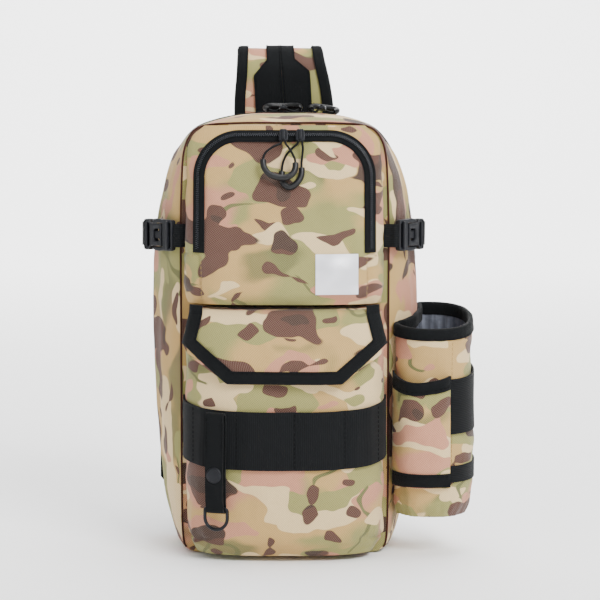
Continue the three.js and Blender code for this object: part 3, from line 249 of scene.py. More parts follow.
# Zip pulls: x of the slider and shares of the cord where its tube starts and ends, then the
# route in millimetres, as in the CAD part: across, along, lift
PULLS = {
    "upper_left": (-1, 0.27, 0.76, [
        (-7, 357.6, 8.4), (-14, 353.4, 8.8), (-17.5, 349, 8.8), (-17.6, 340, 9.6),
        (-13, 333.5, 9.8), (-4, 330.4, 9.8), (4, 331.4, 9.8), (8.6, 336, 9.6), (9.2, 344.6, 9.2),
        (6.5, 351, 9), (2.6, 357, 8)]),
    "upper_right": (13.5, 0.34, 0.75, [
        (8, 356, 4.4), (1.5, 349, 3.4), (-1.6, 341, 3.2), (-2.2, 331, 3.2), (-0.6, 325, 3.2),
        (4, 322, 3.2), (10.6, 325.6, 3.2), (14.4, 332, 3.2), (14.6, 342, 3.4), (15.2, 348, 4),
        (15.8, 355, 5)]),
    "main_left": (-1.5, 0.18, 0.79, [
        (-9, 21, 4.6), (-14, 24, 6.4), (-17.4, 30, 9.4), (-15, 36, 12.4), (-8, 39.4, 14.2),
        (0, 40.6, 14.6), (7, 39, 14.2), (11.8, 35, 12.2), (13, 30, 9.4), (8, 23, 5)]),
    "main_right": (32.5, 0.19, 0.8, [
        (27, 22, 4.4), (24, 25, 6.4), (22.6, 31, 9.6), (26.4, 36.4, 12.4), (33.4, 38.4, 12.6),
        (41, 37, 10.6), (46, 32.6, 8), (45, 27, 5.6), (39.6, 23.6, 4.4)]),
}


def clamp(value, low, high):
    """The value, kept between two others."""
    return max(low, min(high, value))


def lerp(a, b, share):
    """The value at a share of the way from a to b."""
    return a + (b - a) * share


def smooth(edge0, edge1, value):
    """0 at the first edge, 1 at the second, eased between them."""
    t = clamp((value - edge0) / (edge1 - edge0), 0, 1)
    return t * t * (3 - 2 * t)


def steps(start, end, count):
    """count + 1 even values from start to end."""
    return [lerp(start, end, i / count) for i in range(count + 1)]


def table_at(table, place, column):
    """Value of a column at a place in the first column, straight between rows."""
    if place <= table[0][0]:
        return table[0][column]
    for low, high in zip(table, table[1:]):
        if place <= high[0]:
            return lerp(low[column], high[column], (place - low[0]) / (high[0] - low[0]))
    return table[-1][column]


def eased_at(table, place, column):
    """As table_at, but rounded off where the rows meet."""
    span = (table[-1][0] - table[0][0]) * 0.03
    return sum(table_at(table, place + span * k, column) for k in (-1, -0.5, 0, 0.5, 1)) / 5


def spline_point(points, share):
    """A point of the curve through all points, at a share of its run from point to point."""
    count = len(points)
    place = clamp(share, 0, 1) * (count - 1)
    i = min(int(place), count - 2)
    t = place - i
    a, b = points[max(i - 1, 0)], points[i]
    c, d = points[i + 1], points[min(i + 2, count - 1)]
    out = []
    for p, q, r, s in zip(a, b, c, d):
        v0, v1 = (r - p) / 2, (s - q) / 2
        out.append((2 * q - 2 * r + v0 + v1) * t ** 3
                   + (3 * r - 3 * q - 2 * v0 - v1) * t * t + v0 * t + q)
    return out


class Route:
    """A smooth curve through points, measured along its length."""

    def __init__(self, points, fine=24):
        self.points = self.through(points, fine)
        self.lengths = [0.0]
        for a, b in zip(self.points, self.points[1:]):
            self.lengths.append(self.lengths[-1] + (b - a).length)
        self.length = self.lengths[-1]

    @staticmethod
    def through(points, fine):
        """Centripetal curve through the points."""
        first, last = points[0] * 2 - points[1], points[-1] * 2 - points[-2]
        ring = [first] + points + [last]
        out = []
        for i in range(1, len(ring) - 2):
            p0, p1, p2, p3 = ring[i - 1:i + 3]
            d0, d1, d2 = (max((b - a).length ** 0.5, 1e-6)
                          for a, b in ((p0, p1), (p1, p2), (p2, p3)))
            m1 = ((p1 - p0) / d0 - (p2 - p0) / (d0 + d1) + (p2 - p1) / d1) * d1
            m2 = ((p2 - p1) / d1 - (p3 - p1) / (d1 + d2) + (p3 - p2) / d2) * d1
            for k in range(fine):
                t = k / fine
                out.append((2 * p1 - 2 * p2 + m1 + m2) * t ** 3
                           + (3 * p2 - 3 * p1 - 2 * m1 - m2) * t * t + m1 * t + p1)
        return out + [points[-1].copy()]

    def at(self, share):
        """The point at a share of the whole length."""
        goal = clamp(share, 0, 1) * self.length
        low, high = 0, len(self.lengths) - 1
        while high - low > 1:
            middle = (low + high) // 2
            if self.lengths[middle] <= goal:
                low = middle
            else:
                high = middle
        span = self.lengths[high] - self.lengths[low]
        share = (goal - self.lengths[low]) / span if span else 0
        return self.points[low].lerp(self.points[high], share)

    def along(self, share):
        """The direction of the curve there."""
        step = 0.004
        return (self.at(share + step) - self.at(share - step)).normalized()


def metres(name, description, default):
    """A length that the user can change."""
    return FloatProperty(name=name, description=description, default=default, unit="LENGTH")


class BAG_sizes(bpy.types.PropertyGroup):
    """Sizes of the bag's main pieces"""
    body_width: metres("Body width", "Main compartment across, at its widest", 0.230)
    body_height: metres("Body height", "Main compartment from base to top", 0.384)
    body_depth: metres("Body depth", "Main compartment without pockets", 0.085)
    front_width: metres("Front width", "Front panel from seam to seam", 0.180)
    front_height: metres("Front height", "Front panel from base to top", 0.376)
    pocket_width: metres("Pocket width", "Both front pockets across", 0.172)
    upper_base: metres("Upper pocket base", "Height of the upper pocket's base", 0.222)
    upper_height: metres("Upper pocket height", "Upper pocket from base to top", 0.152)
    upper_depth: metres("Upper pocket depth", "Upper pocket at its deepest", 0.046)
    lower_base: metres("Lower pocket base", "Height of the lower pocket's base", 0.005)
    lower_depth: metres("Lower pocket depth", "Lower pocket at its deepest", 0.056)
    flap_drop: metres("Flap drop", "How far the flap hangs", 0.058)
    flap_binding: metres("Flap binding", "Width of the flap's bound edge", 0.011)
    band_width: metres("Band width", "Webbing band round the lower pocket", 0.050)
    band_base: metres("Band base", "Height of the band's lower edge", 0.080)
    label_width: metres("Label width", "Bare patch across", 0.0365)
    label_height: metres("Label height", "Bare patch from base to top", 0.0345)
    bottle_width: metres("Bottle holder width", "Bottle holder across", 0.074)
    bottle_depth: metres("Bottle holder depth", "Bottle holder front to back", 0.084)
    bottle_base: metres("Bottle holder base", "Height of its underside", 0.034)
    bottle_height: metres("Bottle holder height", "From its base to its rim", 0.173)
    bottle_tilt: metres("Rim tilt", "How much lower the rim is in front", 0.016)
    pad_width: metres("Strap width", "Shoulder strap where it leaves the bag", 0.088)
    pad_thickness: metres("Strap thickness", "Padding of the shoulder strap", 0.010)
    strap_bow: metres("Strap bow", "How far the strap stands off the back", 0.093)
    thread: metres("Thread", "Thickness of the sewing thread", 0.00035)
    stitch: metres("Stitch", "Length of one stitch", 0.0028)


def srgb(red, green, blue):
    """Linear colour of a screen colour given from 0 to 255."""
    return tuple(((v / 255 + 0.055) / 1.055) ** 2.4 if v > 10 else v / 255 / 12.92
                 for v in (red, green, blue))


def colour(name, description, value):
    """A colour that the user can change."""
    return FloatVectorProperty(name=name, description=description, subtype="COLOR", size=3,
                               min=0, max=1, default=value)


class BAG_colours(bpy.types.PropertyGroup):
    """Colours of the bag's cloths and hard pieces"""
    tan: colour("Tan", "Ground of the camouflage", srgb(178, 144, 84))
    cream: colour("Cream", "Light shapes of the camouflage", srgb(210, 184, 136))
    green: colour("Green", "Soft green shapes of the camouflage", srgb(134, 131, 74))
    olive: colour("Olive", "Darker green shapes of the camouflage", srgb(92, 94, 50))
    pink: colour("Pink", "Dusty pink shapes of the camouflage", srgb(180, 124, 98))
    brown: colour("Brown", "Brown shapes of the camouflage", srgb(72, 40, 32))
    dark: colour("Dark brown", "Darkest shapes of the camouflage", srgb(36, 20, 16))
    cloth: colour("Black cloth", "Binding tape and air mesh", srgb(8, 10, 12))
    webbing: colour("Webbing", "Ribbed black webbing", srgb(10, 12, 14))
    moulded: colour("Moulded", "Buckles and adjuster", srgb(17, 19, 24))
    metal: colour("Metal", "Sliders, snap and ring", srgb(17, 19, 24))
    rubber: colour("Rubber", "Rubber tubes of the zip pulls", srgb(10, 11, 13))
    lining: colour("Lining", "Silver-grey lining of the bottle holder", srgb(120, 124, 136))
    label: colour("Label", "Bare patch", srgb(226, 226, 232))
    thread: colour("Thread", "Thread in black cloth", srgb(5, 6, 7))
    floor: colour("Floor", "Studio floor and backdrop", srgb(252, 252, 252))


class Pocket:
    """A rounded box that leans on the front panel"""

    def __init__(self, width, base, height, depth, sections, wall_y):
        self.width, self.base, self.height, self.depth = width, base, height, depth
        self.sections, self.wall_y = sections, wall_y

    def half(self, z):
        """Half of the width at a height."""
        return eased_at(self.sections, (z - self.base) / self.height, 1) * self.width / 2

    def out(self, z):
        """Depth at a height."""
        return eased_at(self.sections, (z - self.base) / self.height, 2) * self.depth

    def around(self, turn, z, lift=0):
        """A point round the front, from the +X side at 0 to the -X side at 1."""
        cos, sin = math.cos(turn * math.pi), math.sin(turn * math.pi)
        x = (self.half(z) + lift) * math.copysign(abs(cos) ** (2 / BULGE), cos)
        return Vector((x, self.wall_y - (self.out(z) + lift) * max(sin, 0) ** (2 / BULGE), z))

    def front(self, x, z, lift=0):
        """The point of the front straight above x."""
        share = min(1, abs(x) / (self.half(z) + lift))
        out = (self.out(z) + lift) * (1 - share ** BULGE) ** (1 / BULGE)
        return Vector((x, self.wall_y - out, z))

    def turn_at(self, x, z):
        """The turn at which around() has this x."""
        share = clamp(x / self.half(z), -1, 1)
        return math.acos(math.copysign(abs(share) ** (BULGE / 2), share)) / math.pi


def spread_out(count):
    """Shares from 0 to 1 whose points on a rounded box lie about evenly."""
    rounding = BULGE / 2
    half = [0.5 * (1 - (1 - i / count * 2) ** rounding) for i in range(count // 2 + 1)]
    return half + [1 - v for v in half[-2::-1]]


class Shapes:
    """The bag's walls as surfaces, worked out from its sizes"""

    def __init__(self, sizes):
        self.s = sizes
        wide, narrow = sizes.body_width / 2, sizes.front_width / 2
        side = [(row[0] * wide, row[1] * sizes.body_height) for row in OUTLINE]
        front = [(row[2] * narrow, row[3] * sizes.front_height) for row in OUTLINE]
        self.side = side + [(-x, z) for x, z in side[-2::-1]]
        self.face = front + [(-x, z) for x, z in front[-2::-1]]
        self.front_y, self.back_y = -sizes.body_depth / 2, sizes.body_depth / 2
        self.pocket_y = self.front_y - GAP
        self.panel_y = self.back_y + GAP
        self.panel_face = self.panel_y + PANEL_THICKNESS
        lower_height = sizes.upper_base - sizes.lower_base - POCKET_GAP
        self.lower_top = sizes.lower_base + lower_height
        self.upper = Pocket(sizes.pocket_width, sizes.upper_base, sizes.upper_height,
                            sizes.upper_depth, UPPER_SECTIONS, self.pocket_y)
        self.lower = Pocket(sizes.pocket_width, sizes.lower_base, lower_height,
                            sizes.lower_depth, LOWER_SECTIONS, self.pocket_y)
        self.reaches = {}
        self.bottle_x = sizes.body_width / 2 + sizes.bottle_width / 2 - BOTTLE_OVERLAP
        seat = self.panel_face + GAP + WEBBING + 2 * SEAT
        self.strap = Route([Vector((a * sizes.body_width, seat + b * sizes.strap_bow,
                                    c * sizes.body_height)) for a, b, c in STRAP_ROUTE])

    def outline(self, u, spread, rise):
        """x and z round the wall, between the front outline and the widest one."""
        a, b = spline_point(self.face, u), spline_point(self.side, u)
        return lerp(a[0], b[0], spread), max(0, lerp(a[1], b[1], spread)) * rise

    def body(self, u, y, lift=0.0):
        """The wall: u goes once round from the middle of the base, lift is out of the wall."""
        depth = y / self.s.body_depth
        spread, rise = table_at(GUSSET, depth, 1), table_at(GUSSET, depth, 2)
        x, z = self.outline(u, spread, rise)
        if not lift:
            return Vector((x, y, z))
        x0, z0 = self.outline(max(0, u - 0.002), spread, rise)
        x1, z1 = self.outline(min(1, u + 0.002), spread, rise)
        size = math.hypot(x1 - x0, z1 - z0)
        return Vector((x + (z1 - z0) / size * lift, y, z - (x1 - x0) / size * lift))

    def reach(self, y, z):
        """How far the side wall reaches out at a depth and height."""
        key = round(clamp(y, self.front_y, self.back_y) * 500)
        if key not in self.reaches:
            wall = [self.body(u, key / 500) for u in steps(0, 0.5, 60)]
            self.reaches[key] = [(p.z, p.x) for p in wall if p.x > 0.06]
        for (z0, x0), (z1, x1) in zip(self.reaches[key], self.reaches[key][1:]):
            if z0 <= z <= z1 and z1 > z0:
                return lerp(x0, x1, (z - z0) / (z1 - z0))
        return self.reaches[key][-1][1]

    def dome(self, u, inset, lift):
        """The arch of the upper zip: u along it, inset from its outer edge."""
        half, radius = DOME_WIDTH / 2 - inset, DOME_RADIUS - inset
        top = self.s.upper_base + self.s.upper_height * DOME_TOP - inset
        foot = self.s.upper_base + self.s.upper_height * DOME_FOOT
        leg, bend, bridge = top - radius - foot, radius * math.pi / 2, 2 * (half - radius)
        run = clamp(u, 0, 1) * (2 * leg + 2 * bend + bridge)
        side = -1
        if run > leg + bend + bridge / 2:
            run, side = 2 * leg + 2 * bend + bridge - run, 1
        if run < leg:
            x, z = half, foot + run
        elif run < leg + bend:
            angle = (run - leg) / radius
            x, z = half - radius + radius * math.cos(angle), top - radius + radius * math.sin(angle)
        else:
            x, z = half - radius - (run - leg - bend), top
        return self.upper.front(side * x, z, lift)

    def flap_half(self, place):
        """Half of the flap's width, at a share of its drop."""
        if place > 0.05:
            return eased_at(FLAP_ROWS[4:], place, 2) * self.s.pocket_width / 2
        return table_at(FLAP_ROWS, place, 2) * self.s.pocket_width / 2

    def flap(self, u, place, lift):
        """The flap: u across it from -1 to 1, place from behind its fold to its lower edge."""
        z = self.lower_top - table_at(FLAP_ROWS, place, 1) * self.s.flap_drop
        x = u * self.flap_half(place)
        up = table_at(FLAP_ROWS, place, 4)
        front = self.lower.front(x * 0.97, min(z, self.lower_top), FLAP_EASE + lift * (1 - up))
        out = (self.pocket_y - front.y) * eased_at(FLAP_ROWS, place, 3)
        return Vector((x, self.pocket_y - out, z + lift * up))

    def bottle(self, turn, rise, lift=0.0):
        """The holder's wall: turn round it from +X, rise from its base to its rim."""
        s, angle = self.s, turn * math.pi * 2
        width = eased_at(BOTTLE_SECTIONS, rise, 1)
        across, deep = (math.copysign(abs(v) ** (2 / BOTTLE_BULGE), v)
                        for v in (math.cos(angle), math.sin(angle)))
        y = BOTTLE_Y + deep * (s.bottle_depth / 2 * width + lift)
        z = s.bottle_base + rise * s.bottle_height + deep * rise * s.bottle_tilt / 2
        wall = self.reach(y, z) if y > self.front_y else 0
        edge = s.front_width / 2 + 2 * PIPING if y < self.front_y + 0.002 else 0
        limit = max(wall, edge) + GAP + 0.0034 - min(lift, 0.0024)
        x = self.bottle_x + across * (s.bottle_width / 2 * width + lift)
        return Vector((max(limit, x), y, z))

    def off_bottle(self, point):
        """The direction straight out of the holder at a point."""
        return (point - Vector((self.bottle_x, BOTTLE_Y, point.z))).normalized()

    def tool(self, turn, rise, lift):
        """The flat pocket that bulges from the holder's front."""
        across = clamp((turn - 0.575) / 0.225, 0, 1)
        up = (rise - self.bottle_rise(TOOL_BASE)) * self.s.bottle_height / TOOL_HEIGHT
        full = math.sin(math.pi / 2 * clamp(up * 1.6, 0, 1)) ** 0.7
        point = self.bottle(turn, rise, lift)
        point.y -= 0.009 * full * math.sin(math.pi * across) ** 0.6
        point.z -= 0.005 * math.sin(math.pi * across) * smooth(0.4, 1, up)
        return point

    def bottle_rise(self, height):
        """The rise of the holder's wall at a height over the floor."""
        return (height - self.s.bottle_base) / self.s.bottle_height


def ribbon_frame(route, place):
    """Along, across and out of a ribbon at a place of its route."""
    forward = route.along(place)
    side = (ACROSS - forward * forward.x).normalized()
    return forward, side, side.cross(forward)


def ribbon(route):
    """The face of a ribbon on a route: x across it and lift off it."""
    def face(place, x, lift):
        _, side, out = ribbon_frame(route, place)
        return route.at(place) + side * x + out * lift
    return face


def rumple(point, size, seed=0):
    """Soft random relief from -1 to 1, with folds of about this size."""
    place = Vector(point) / size + Vector((seed * 7.3, seed * 3.1, seed * 1.7))
    return noise.noise(place) * 1.3 + noise.noise(place * 2.3) * 0.45


def folds(point, *layers):
    """Relief of several layers of folds, each of a size, a depth and a seed."""
    return sum(rumple(point, size, seed) * depth for size, depth, seed in layers)


def frame_matrix(x_axis, y_axis, z_axis, origin):
    """The matrix that sets a flat piece in place, by its axes and its origin."""
    rows = zip(x_axis, y_axis, z_axis, origin)
    return Matrix((*rows, (0, 0, 0, 1)))


def link(name, data):
    """A new object in the scene."""
    made = bpy.data.objects.new(name, data)
    bpy.context.scene.collection.objects.link(made)
    return made


def settle(obj, slot, *nodes, body="bag"):
    """Ties a finished piece to its body and hides the plain nodes that it stands for. The slot is
    not used.
    """
    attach(obj, body)
    if nodes:
        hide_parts(*nodes)
    return obj


def new_object(name, points, faces, corner_uvs, look, angle=38):
    """A smooth-shaded mesh object whose edges sharper than the angle stay crisp."""
    mesh = bpy.data.meshes.new(name)
    mesh.from_pydata([tuple(p) for p in points], [], faces)
    if corner_uvs:
        layer = mesh.uv_layers.new(name="cloth")
        flat = [value for face in corner_uvs for corner in face for value in corner]
        layer.data.foreach_set("uv", flat)
    mesh.validate(clean_customdata=False)
    work = bmesh.new()
    work.from_mesh(mesh)
    bmesh.ops.recalc_face_normals(work, faces=work.faces)
    limit = math.radians(angle)
    for edge in work.edges:
        edge.smooth = not (edge.is_manifold and edge.calc_face_angle(0) > limit)
    for face in work.faces:
        face.smooth = True
    work.to_mesh(mesh)
    work.free()
    mesh.materials.append(material(look))
    return link(name, mesh)


def lengths(points):
    """Length from the first point to each one."""
    out = [0.0]
    for a, b in zip(points, points[1:]):
        out.append(out[-1] + (b - a).length)
    return out


def layer_mesh(name, surface, us, vs, low, high, look, slot, *nodes, loop=False, start=(0, 0),
               angle=38):
    """A thin closed layer over surface(u, v, lift), between two lifts, as a settled piece.

    With loop, u comes round. start is where the piece was cut from the printed cloth.
    """
    rows, columns = len(us), len(vs)
    points = [surface(u, v, lift) for lift in (low, high) for u in us for v in vs]
    top = rows * columns
    middle = points[top + columns // 2::columns][:rows]
    along = lengths(middle + ([middle[0]] if loop else []))
    across = lengths(points[top + rows // 2 * columns:][:columns])
    faces, uvs = [], []

    def quad(*corners):
        faces.append([side * top + (i % rows) * columns + j for side, i, j in corners])
        uvs.append([(start[0] + along[i], start[1] + across[j]) for _, i, j in corners])

    last = columns - 1
    for i in range(rows if loop else rows - 1):
        for j in range(last):
            quad((1, i, j), (1, i + 1, j), (1, i + 1, j + 1), (1, i, j + 1))
            quad((0, i, j), (0, i, j + 1), (0, i + 1, j + 1), (0, i + 1, j))
        quad((0, i, 0), (0, i + 1, 0), (1, i + 1, 0), (1, i, 0))
        quad((0, i, last), (1, i, last), (1, i + 1, last), (0, i + 1, last))
    if not loop:
        for j in range(last):
            quad((0, 0, j), (1, 0, j), (1, 0, j + 1), (0, 0, j + 1))
            quad((0, rows - 1, j), (0, rows - 1, j + 1), (1, rows - 1, j + 1), (1, rows - 1, j))
    return settle(new_object(name, points, faces, uvs, look, angle), slot, *nodes)


def loft_mesh(name, rings, look, start=(0, 0), caps=(0.985, 0.94, 0.7, 0.4, 0.12), angle=38):
    """A closed body through rings of as many points each, with its ends filled by smaller rings."""
    def inward(ring):
        middle = sum(ring, Vector()) / len(ring)
        return [[middle.lerp(p, share) for p in ring] for share in caps]
    before, after = inward(rings[0])[::-1], inward(rings[-1])
    whole = before + rings + after
    count = len(rings[0])
    points = [p for ring in whole for p in ring]
    girth = lengths(rings[len(rings) // 2] + [rings[len(rings) // 2][0]])
    depth = lengths([ring[count // 4] for ring in rings])
    faces, uvs = [], []
    for r in range(len(whole) - 1):
        capped = r < len(before) or r >= len(before) + len(rings) - 1
        for i in range(count):
            j = (i + 1) % count
            faces.append([r * count + i, r * count + j, (r + 1) * count + j, (r + 1) * count + i])
            if capped:
                uvs.append([(start[0] + points[k].x, start[1] + points[k].z) for k in faces[-1]])
            else:
                k = r - len(before)
                uvs.append([(start[0] + girth[a], start[1] + depth[b])
                            for a, b in ((i, k), (i + 1, k), (i + 1, k + 1), (i, k + 1))])
    for ring, turn in ((0, -1), (len(whole) - 1, 1)):
        faces.append([ring * count + i for i in range(count)][::turn])
        uvs.append([(start[0] + points[k].x, start[1] + points[k].z) for k in faces[-1]])
    return new_object(name, points, faces, uvs, look, angle)


def tube_points(route, radius, count, sides=10, start=0.0, end=1.0):
    """Rings of a round tube along a stretch of a route."""
    rings = []
    side = UP.cross(route.along(start))
    side = side.normalized() if side.length > 0.2 else ACROSS.copy()
    for place in steps(start, end, count):
        forward = route.along(place)
        side = (side - forward * side.dot(forward)).normalized()
        up = forward.cross(side)
        middle = route.at(place)
        rings.append([middle + side * radius * math.cos(a) + up * radius * math.sin(a)
                      for a in (k / sides * math.tau for k in range(sides))])
    return rings


def outline_plate(name, corners, thickness, bevel, to_world, look, slot, *nodes, holes=()):
    """A settled plate cut from flat outlines, with rounded edges, set in place by to_world."""
    curve = bpy.data.curves.new(name + "_outline", "CURVE")
    curve.dimensions, curve.fill_mode = "2D", "BOTH"
    for ring in (corners, *holes):
        spline = curve.splines.new("POLY")
        spline.points.add(len(ring) - 1)
        spline.use_cyclic_u = True
        for point, (x, y) in zip(spline.points, ring):
            point.co = (x, y, 0, 1)
    curve.extrude = thickness / 2 - bevel
    curve.bevel_depth, curve.bevel_resolution, curve.offset = bevel, 3, -bevel
    holder = link(name, curve)
    mesh = bpy.data.meshes.new_from_object(holder)
    bpy.data.objects.remove(holder)
    bpy.data.curves.remove(curve)
    points = [to_world @ v.co for v in mesh.vertices]
    faces = [list(p.vertices) for p in mesh.polygons]
    bpy.data.meshes.remove(mesh)
    return settle(new_object(name, points, faces, None, look), slot, *nodes)


def rounded(width, height, radius, count=5):
    """Corners of a rounded rectangle, in order."""
    ring = []
    for quarter, (sx, sy) in enumerate(((1, 1), (-1, 1), (-1, -1), (1, -1))):
        for angle in steps(quarter * math.pi / 2, (quarter + 1) * math.pi / 2, count):
            ring.append((sx * (width / 2 - radius) + radius * math.cos(angle),
                         sy * (height / 2 - radius) + radius * math.sin(angle)))
    return ring


class Sewing:
    """Gathers stitches as small capsules, for one object"""

    def __init__(self, sizes, gap=0.0014):
        self.half, self.radius = sizes.stitch / 2, sizes.thread
        self.pitch = sizes.stitch + gap
        self.points, self.faces = [], []

    def run(self, points, out):
        """Sews along points. out(point) is the direction off the cloth."""
        route = lengths(points)
        count = max(1, int(route[-1] / self.pitch))
        at = 0
        for k in range(count):
            goal = (k + 0.5) * route[-1] / count
            while route[at + 1] < goal:
                at += 1
            share = (goal - route[at]) / max(route[at + 1] - route[at], 1e-9)
            middle = points[at].lerp(points[at + 1], share)
            self.capsule(middle, (points[at + 1] - points[at]).normalized(), out(middle))

    def capsule(self, middle, along, out):
        """One stitch, four-sided and narrow at both ends."""
        side = along.cross(out).normalized()
        first = len(self.points)
        for reach, size in ((-1, 0.35), (-0.7, 1), (0.7, 1), (1, 0.35)):
            for cos, sin in ((1, 0), (0, 1), (-1, 0), (0, -0.6)):
                self.points.append(middle + along * reach * self.half
                                   + (side * cos + out * sin) * self.radius * size)
        for ring in range(3):
            for k in range(4):
                a, b = first + ring * 4 + k, first + ring * 4 + (k + 1) % 4
                self.faces.append([a, b, b + 4, a + 4])
        self.faces.append([first + k for k in (3, 2, 1, 0)])
        self.faces.append([first + 12 + k for k in range(4)])

    def finish(self, name, look, slot):
        """The stitches as one settled piece."""
        return settle(new_object(name, self.points, self.faces, None, look, 80), slot)


# Materials

class Graph:
    """A node tree with short calls for adding and linking nodes"""

    def __init__(self, tree):
        self.tree = tree

    def node(self, kind, inputs=None, **settings):
        """A new node with its settings, and with values or links at its inputs."""
        made = self.tree.nodes.new(kind)
        for key, value in settings.items():
            setattr(made, key, value)
        for key, value in (inputs or {}).items():
            self.feed(made.inputs[key], value)
        return made

    def feed(self, socket, value):
        """Links another socket to this one, or sets its value."""
        if isinstance(value, bpy.types.NodeSocket):
            self.tree.links.new(value, socket)
        else:
            socket.default_value = value

    def math(self, operation, a, b=0.0):
        return self.node("ShaderNodeMath", {0: a, 1: b}, operation=operation).outputs[0]

    def vector(self, operation, a, b):
        """A sum or difference of vectors, or a vector scaled by a number."""
        second = 3 if operation == "SCALE" else 1
        return self.node("ShaderNodeVectorMath", {0: a, second: b}, operation=operation).outputs[0]

    def mix(self, share, a, b, blend="MIX"):
        made = self.node("ShaderNodeMix", {0: share}, data_type="RGBA", blend_type=blend)
        self.feed(made.inputs[6], a)
        self.feed(made.inputs[7], b)
        return made.outputs[2]

    def ramp(self, value, low, high, out_low=0.0, out_high=1.0):
        """The value eased from one range to another."""
        return self.node("ShaderNodeMapRange", {0: value, 1: low, 2: high, 3: out_low, 4: out_high},
                         interpolation_type="SMOOTHSTEP").outputs[0]

    def noise(self, vector, scale, detail=0.0, roughness=0.5):
        return self.node("ShaderNodeTexNoise", {"Vector": vector, "Scale": scale, "Detail": detail,
                                                "Roughness": roughness},
                         noise_dimensions="2D").outputs[0]

    def cloth_place(self):
        """The place on the cloth in metres, from its UV map."""
        return self.node("ShaderNodeUVMap", uv_map="cloth").outputs[0]

    def weave(self, place, threads, degrees):
        """The woven threads at a place on the cloth."""
        return self.node("ShaderNodeGroup", {"Vector": place, "Threads per metre": threads,
                                             "Turn": math.radians(degrees)},
                         node_tree=weave_group())

    def shaded(self, tint, light):
        """A colour made lighter or darker by a grey value."""
        grey = self.node("ShaderNodeCombineColor", {0: light, 1: light, 2: light}).outputs[0]
        return self.mix(1.0, tint, grey, "MULTIPLY")

    def placed(self, vector, shift=(0, 0, 0), scale=(1, 1, 1), turn=0.0):
        """A place shifted, scaled and turned in the cloth's plane."""
        return self.node("ShaderNodeMapping", {"Vector": vector, "Location": shift, "Scale": scale,
                                               "Rotation": (0, 0, turn)}).outputs[0]


def node_group(name, inputs, outputs):
    """A shader node group with named sockets, and its graph. Made once."""
    if name in bpy.data.node_groups:
        return bpy.data.node_groups[name], None, None, None
    group = bpy.data.node_groups.new(name, "ShaderNodeTree")
    for label, kind, value in inputs:
        socket = group.interface.new_socket(label, in_out="INPUT", socket_type=kind)
        if value is not None:
            socket.default_value = value
    for label, kind in outputs:
        group.interface.new_socket(label, in_out="OUTPUT", socket_type=kind)
    graph = Graph(group)
    entry = graph.node("NodeGroupInput").outputs
    leave = graph.node("NodeGroupOutput").inputs
    return group, graph, entry, leave


def weave_group():
    """Plain weave: height of the threads from cloth coordinates."""
    group, g, entry, leave = node_group("Woven threads", [
        ("Vector", "NodeSocketVector", None), ("Threads per metre", "NodeSocketFloat", 900.0),
        ("Turn", "NodeSocketFloat", 0.0)], [("Height", "NodeSocketFloat")])
    if g is None:
        return group
    turned = g.node("ShaderNodeVectorRotate", {"Vector": entry["Vector"], "Angle": entry["Turn"]},
                    rotation_type="Z_AXIS").outputs[0]
    scaled = g.vector("SCALE", turned, entry["Threads per metre"])
    parts = g.node("ShaderNodeSeparateXYZ", {0: scaled}).outputs
    x, y = parts[0], parts[1]
    cell = g.math("ADD", g.math("FLOOR", x), g.math("FLOOR", y))
    over = g.math("ROUND", g.math("FRACT", g.math("ABSOLUTE", g.math("MULTIPLY", cell, 0.5))))
    wave_x = g.math("SINE", g.math("MULTIPLY", g.math("FRACT", x), math.pi))
    wave_y = g.math("SINE", g.math("MULTIPLY", g.math("FRACT", y), math.pi))
    keep = g.math("SUBTRACT", 1.0, over)
    height = g.math("ADD", g.math("MULTIPLY", wave_x, over), g.math("MULTIPLY", wave_y, keep))
    g.feed(leave["Height"], height)
    return group


def rib_group():
    """Ribbed webbing: ribs along the strap, crossed by fine picks."""
    group, g, entry, leave = node_group("Ribbed webbing", [
        ("Vector", "NodeSocketVector", None), ("Ribs per metre", "NodeSocketFloat", 620.0),
        ("Picks per metre", "NodeSocketFloat", 900.0)],
        [("Height", "NodeSocketFloat"), ("Shade", "NodeSocketFloat")])
    if g is None:
        return group
    parts = g.node("ShaderNodeSeparateXYZ", {0: entry["Vector"]}).outputs
    picks = g.math("MULTIPLY", parts[0], entry["Picks per metre"])
    ribs = g.math("MULTIPLY", parts[1], entry["Ribs per metre"])
    shift = g.math("MULTIPLY", g.math("FLOOR", ribs), 0.5)
    rib = g.math("SINE", g.math("MULTIPLY", g.math("FRACT", ribs), math.pi))
    pick = g.math("SINE", g.math("MULTIPLY", g.math("FRACT", g.math("ADD", picks, shift)), math.pi))
    both = g.math("MULTIPLY", rib, g.math("ADD", 0.45, g.math("MULTIPLY", pick, 0.55)))
    g.feed(leave["Height"], both)
    # Shade is painted shade between the ribs and painted highlight on their tops
    g.feed(leave["Shade"], g.ramp(both, 0.1, 0.9, 0.35, 1.7))
    return group


CAMOUFLAGE = ("Tan", "Cream", "Green", "Olive", "Pink", "Brown", "Dark")


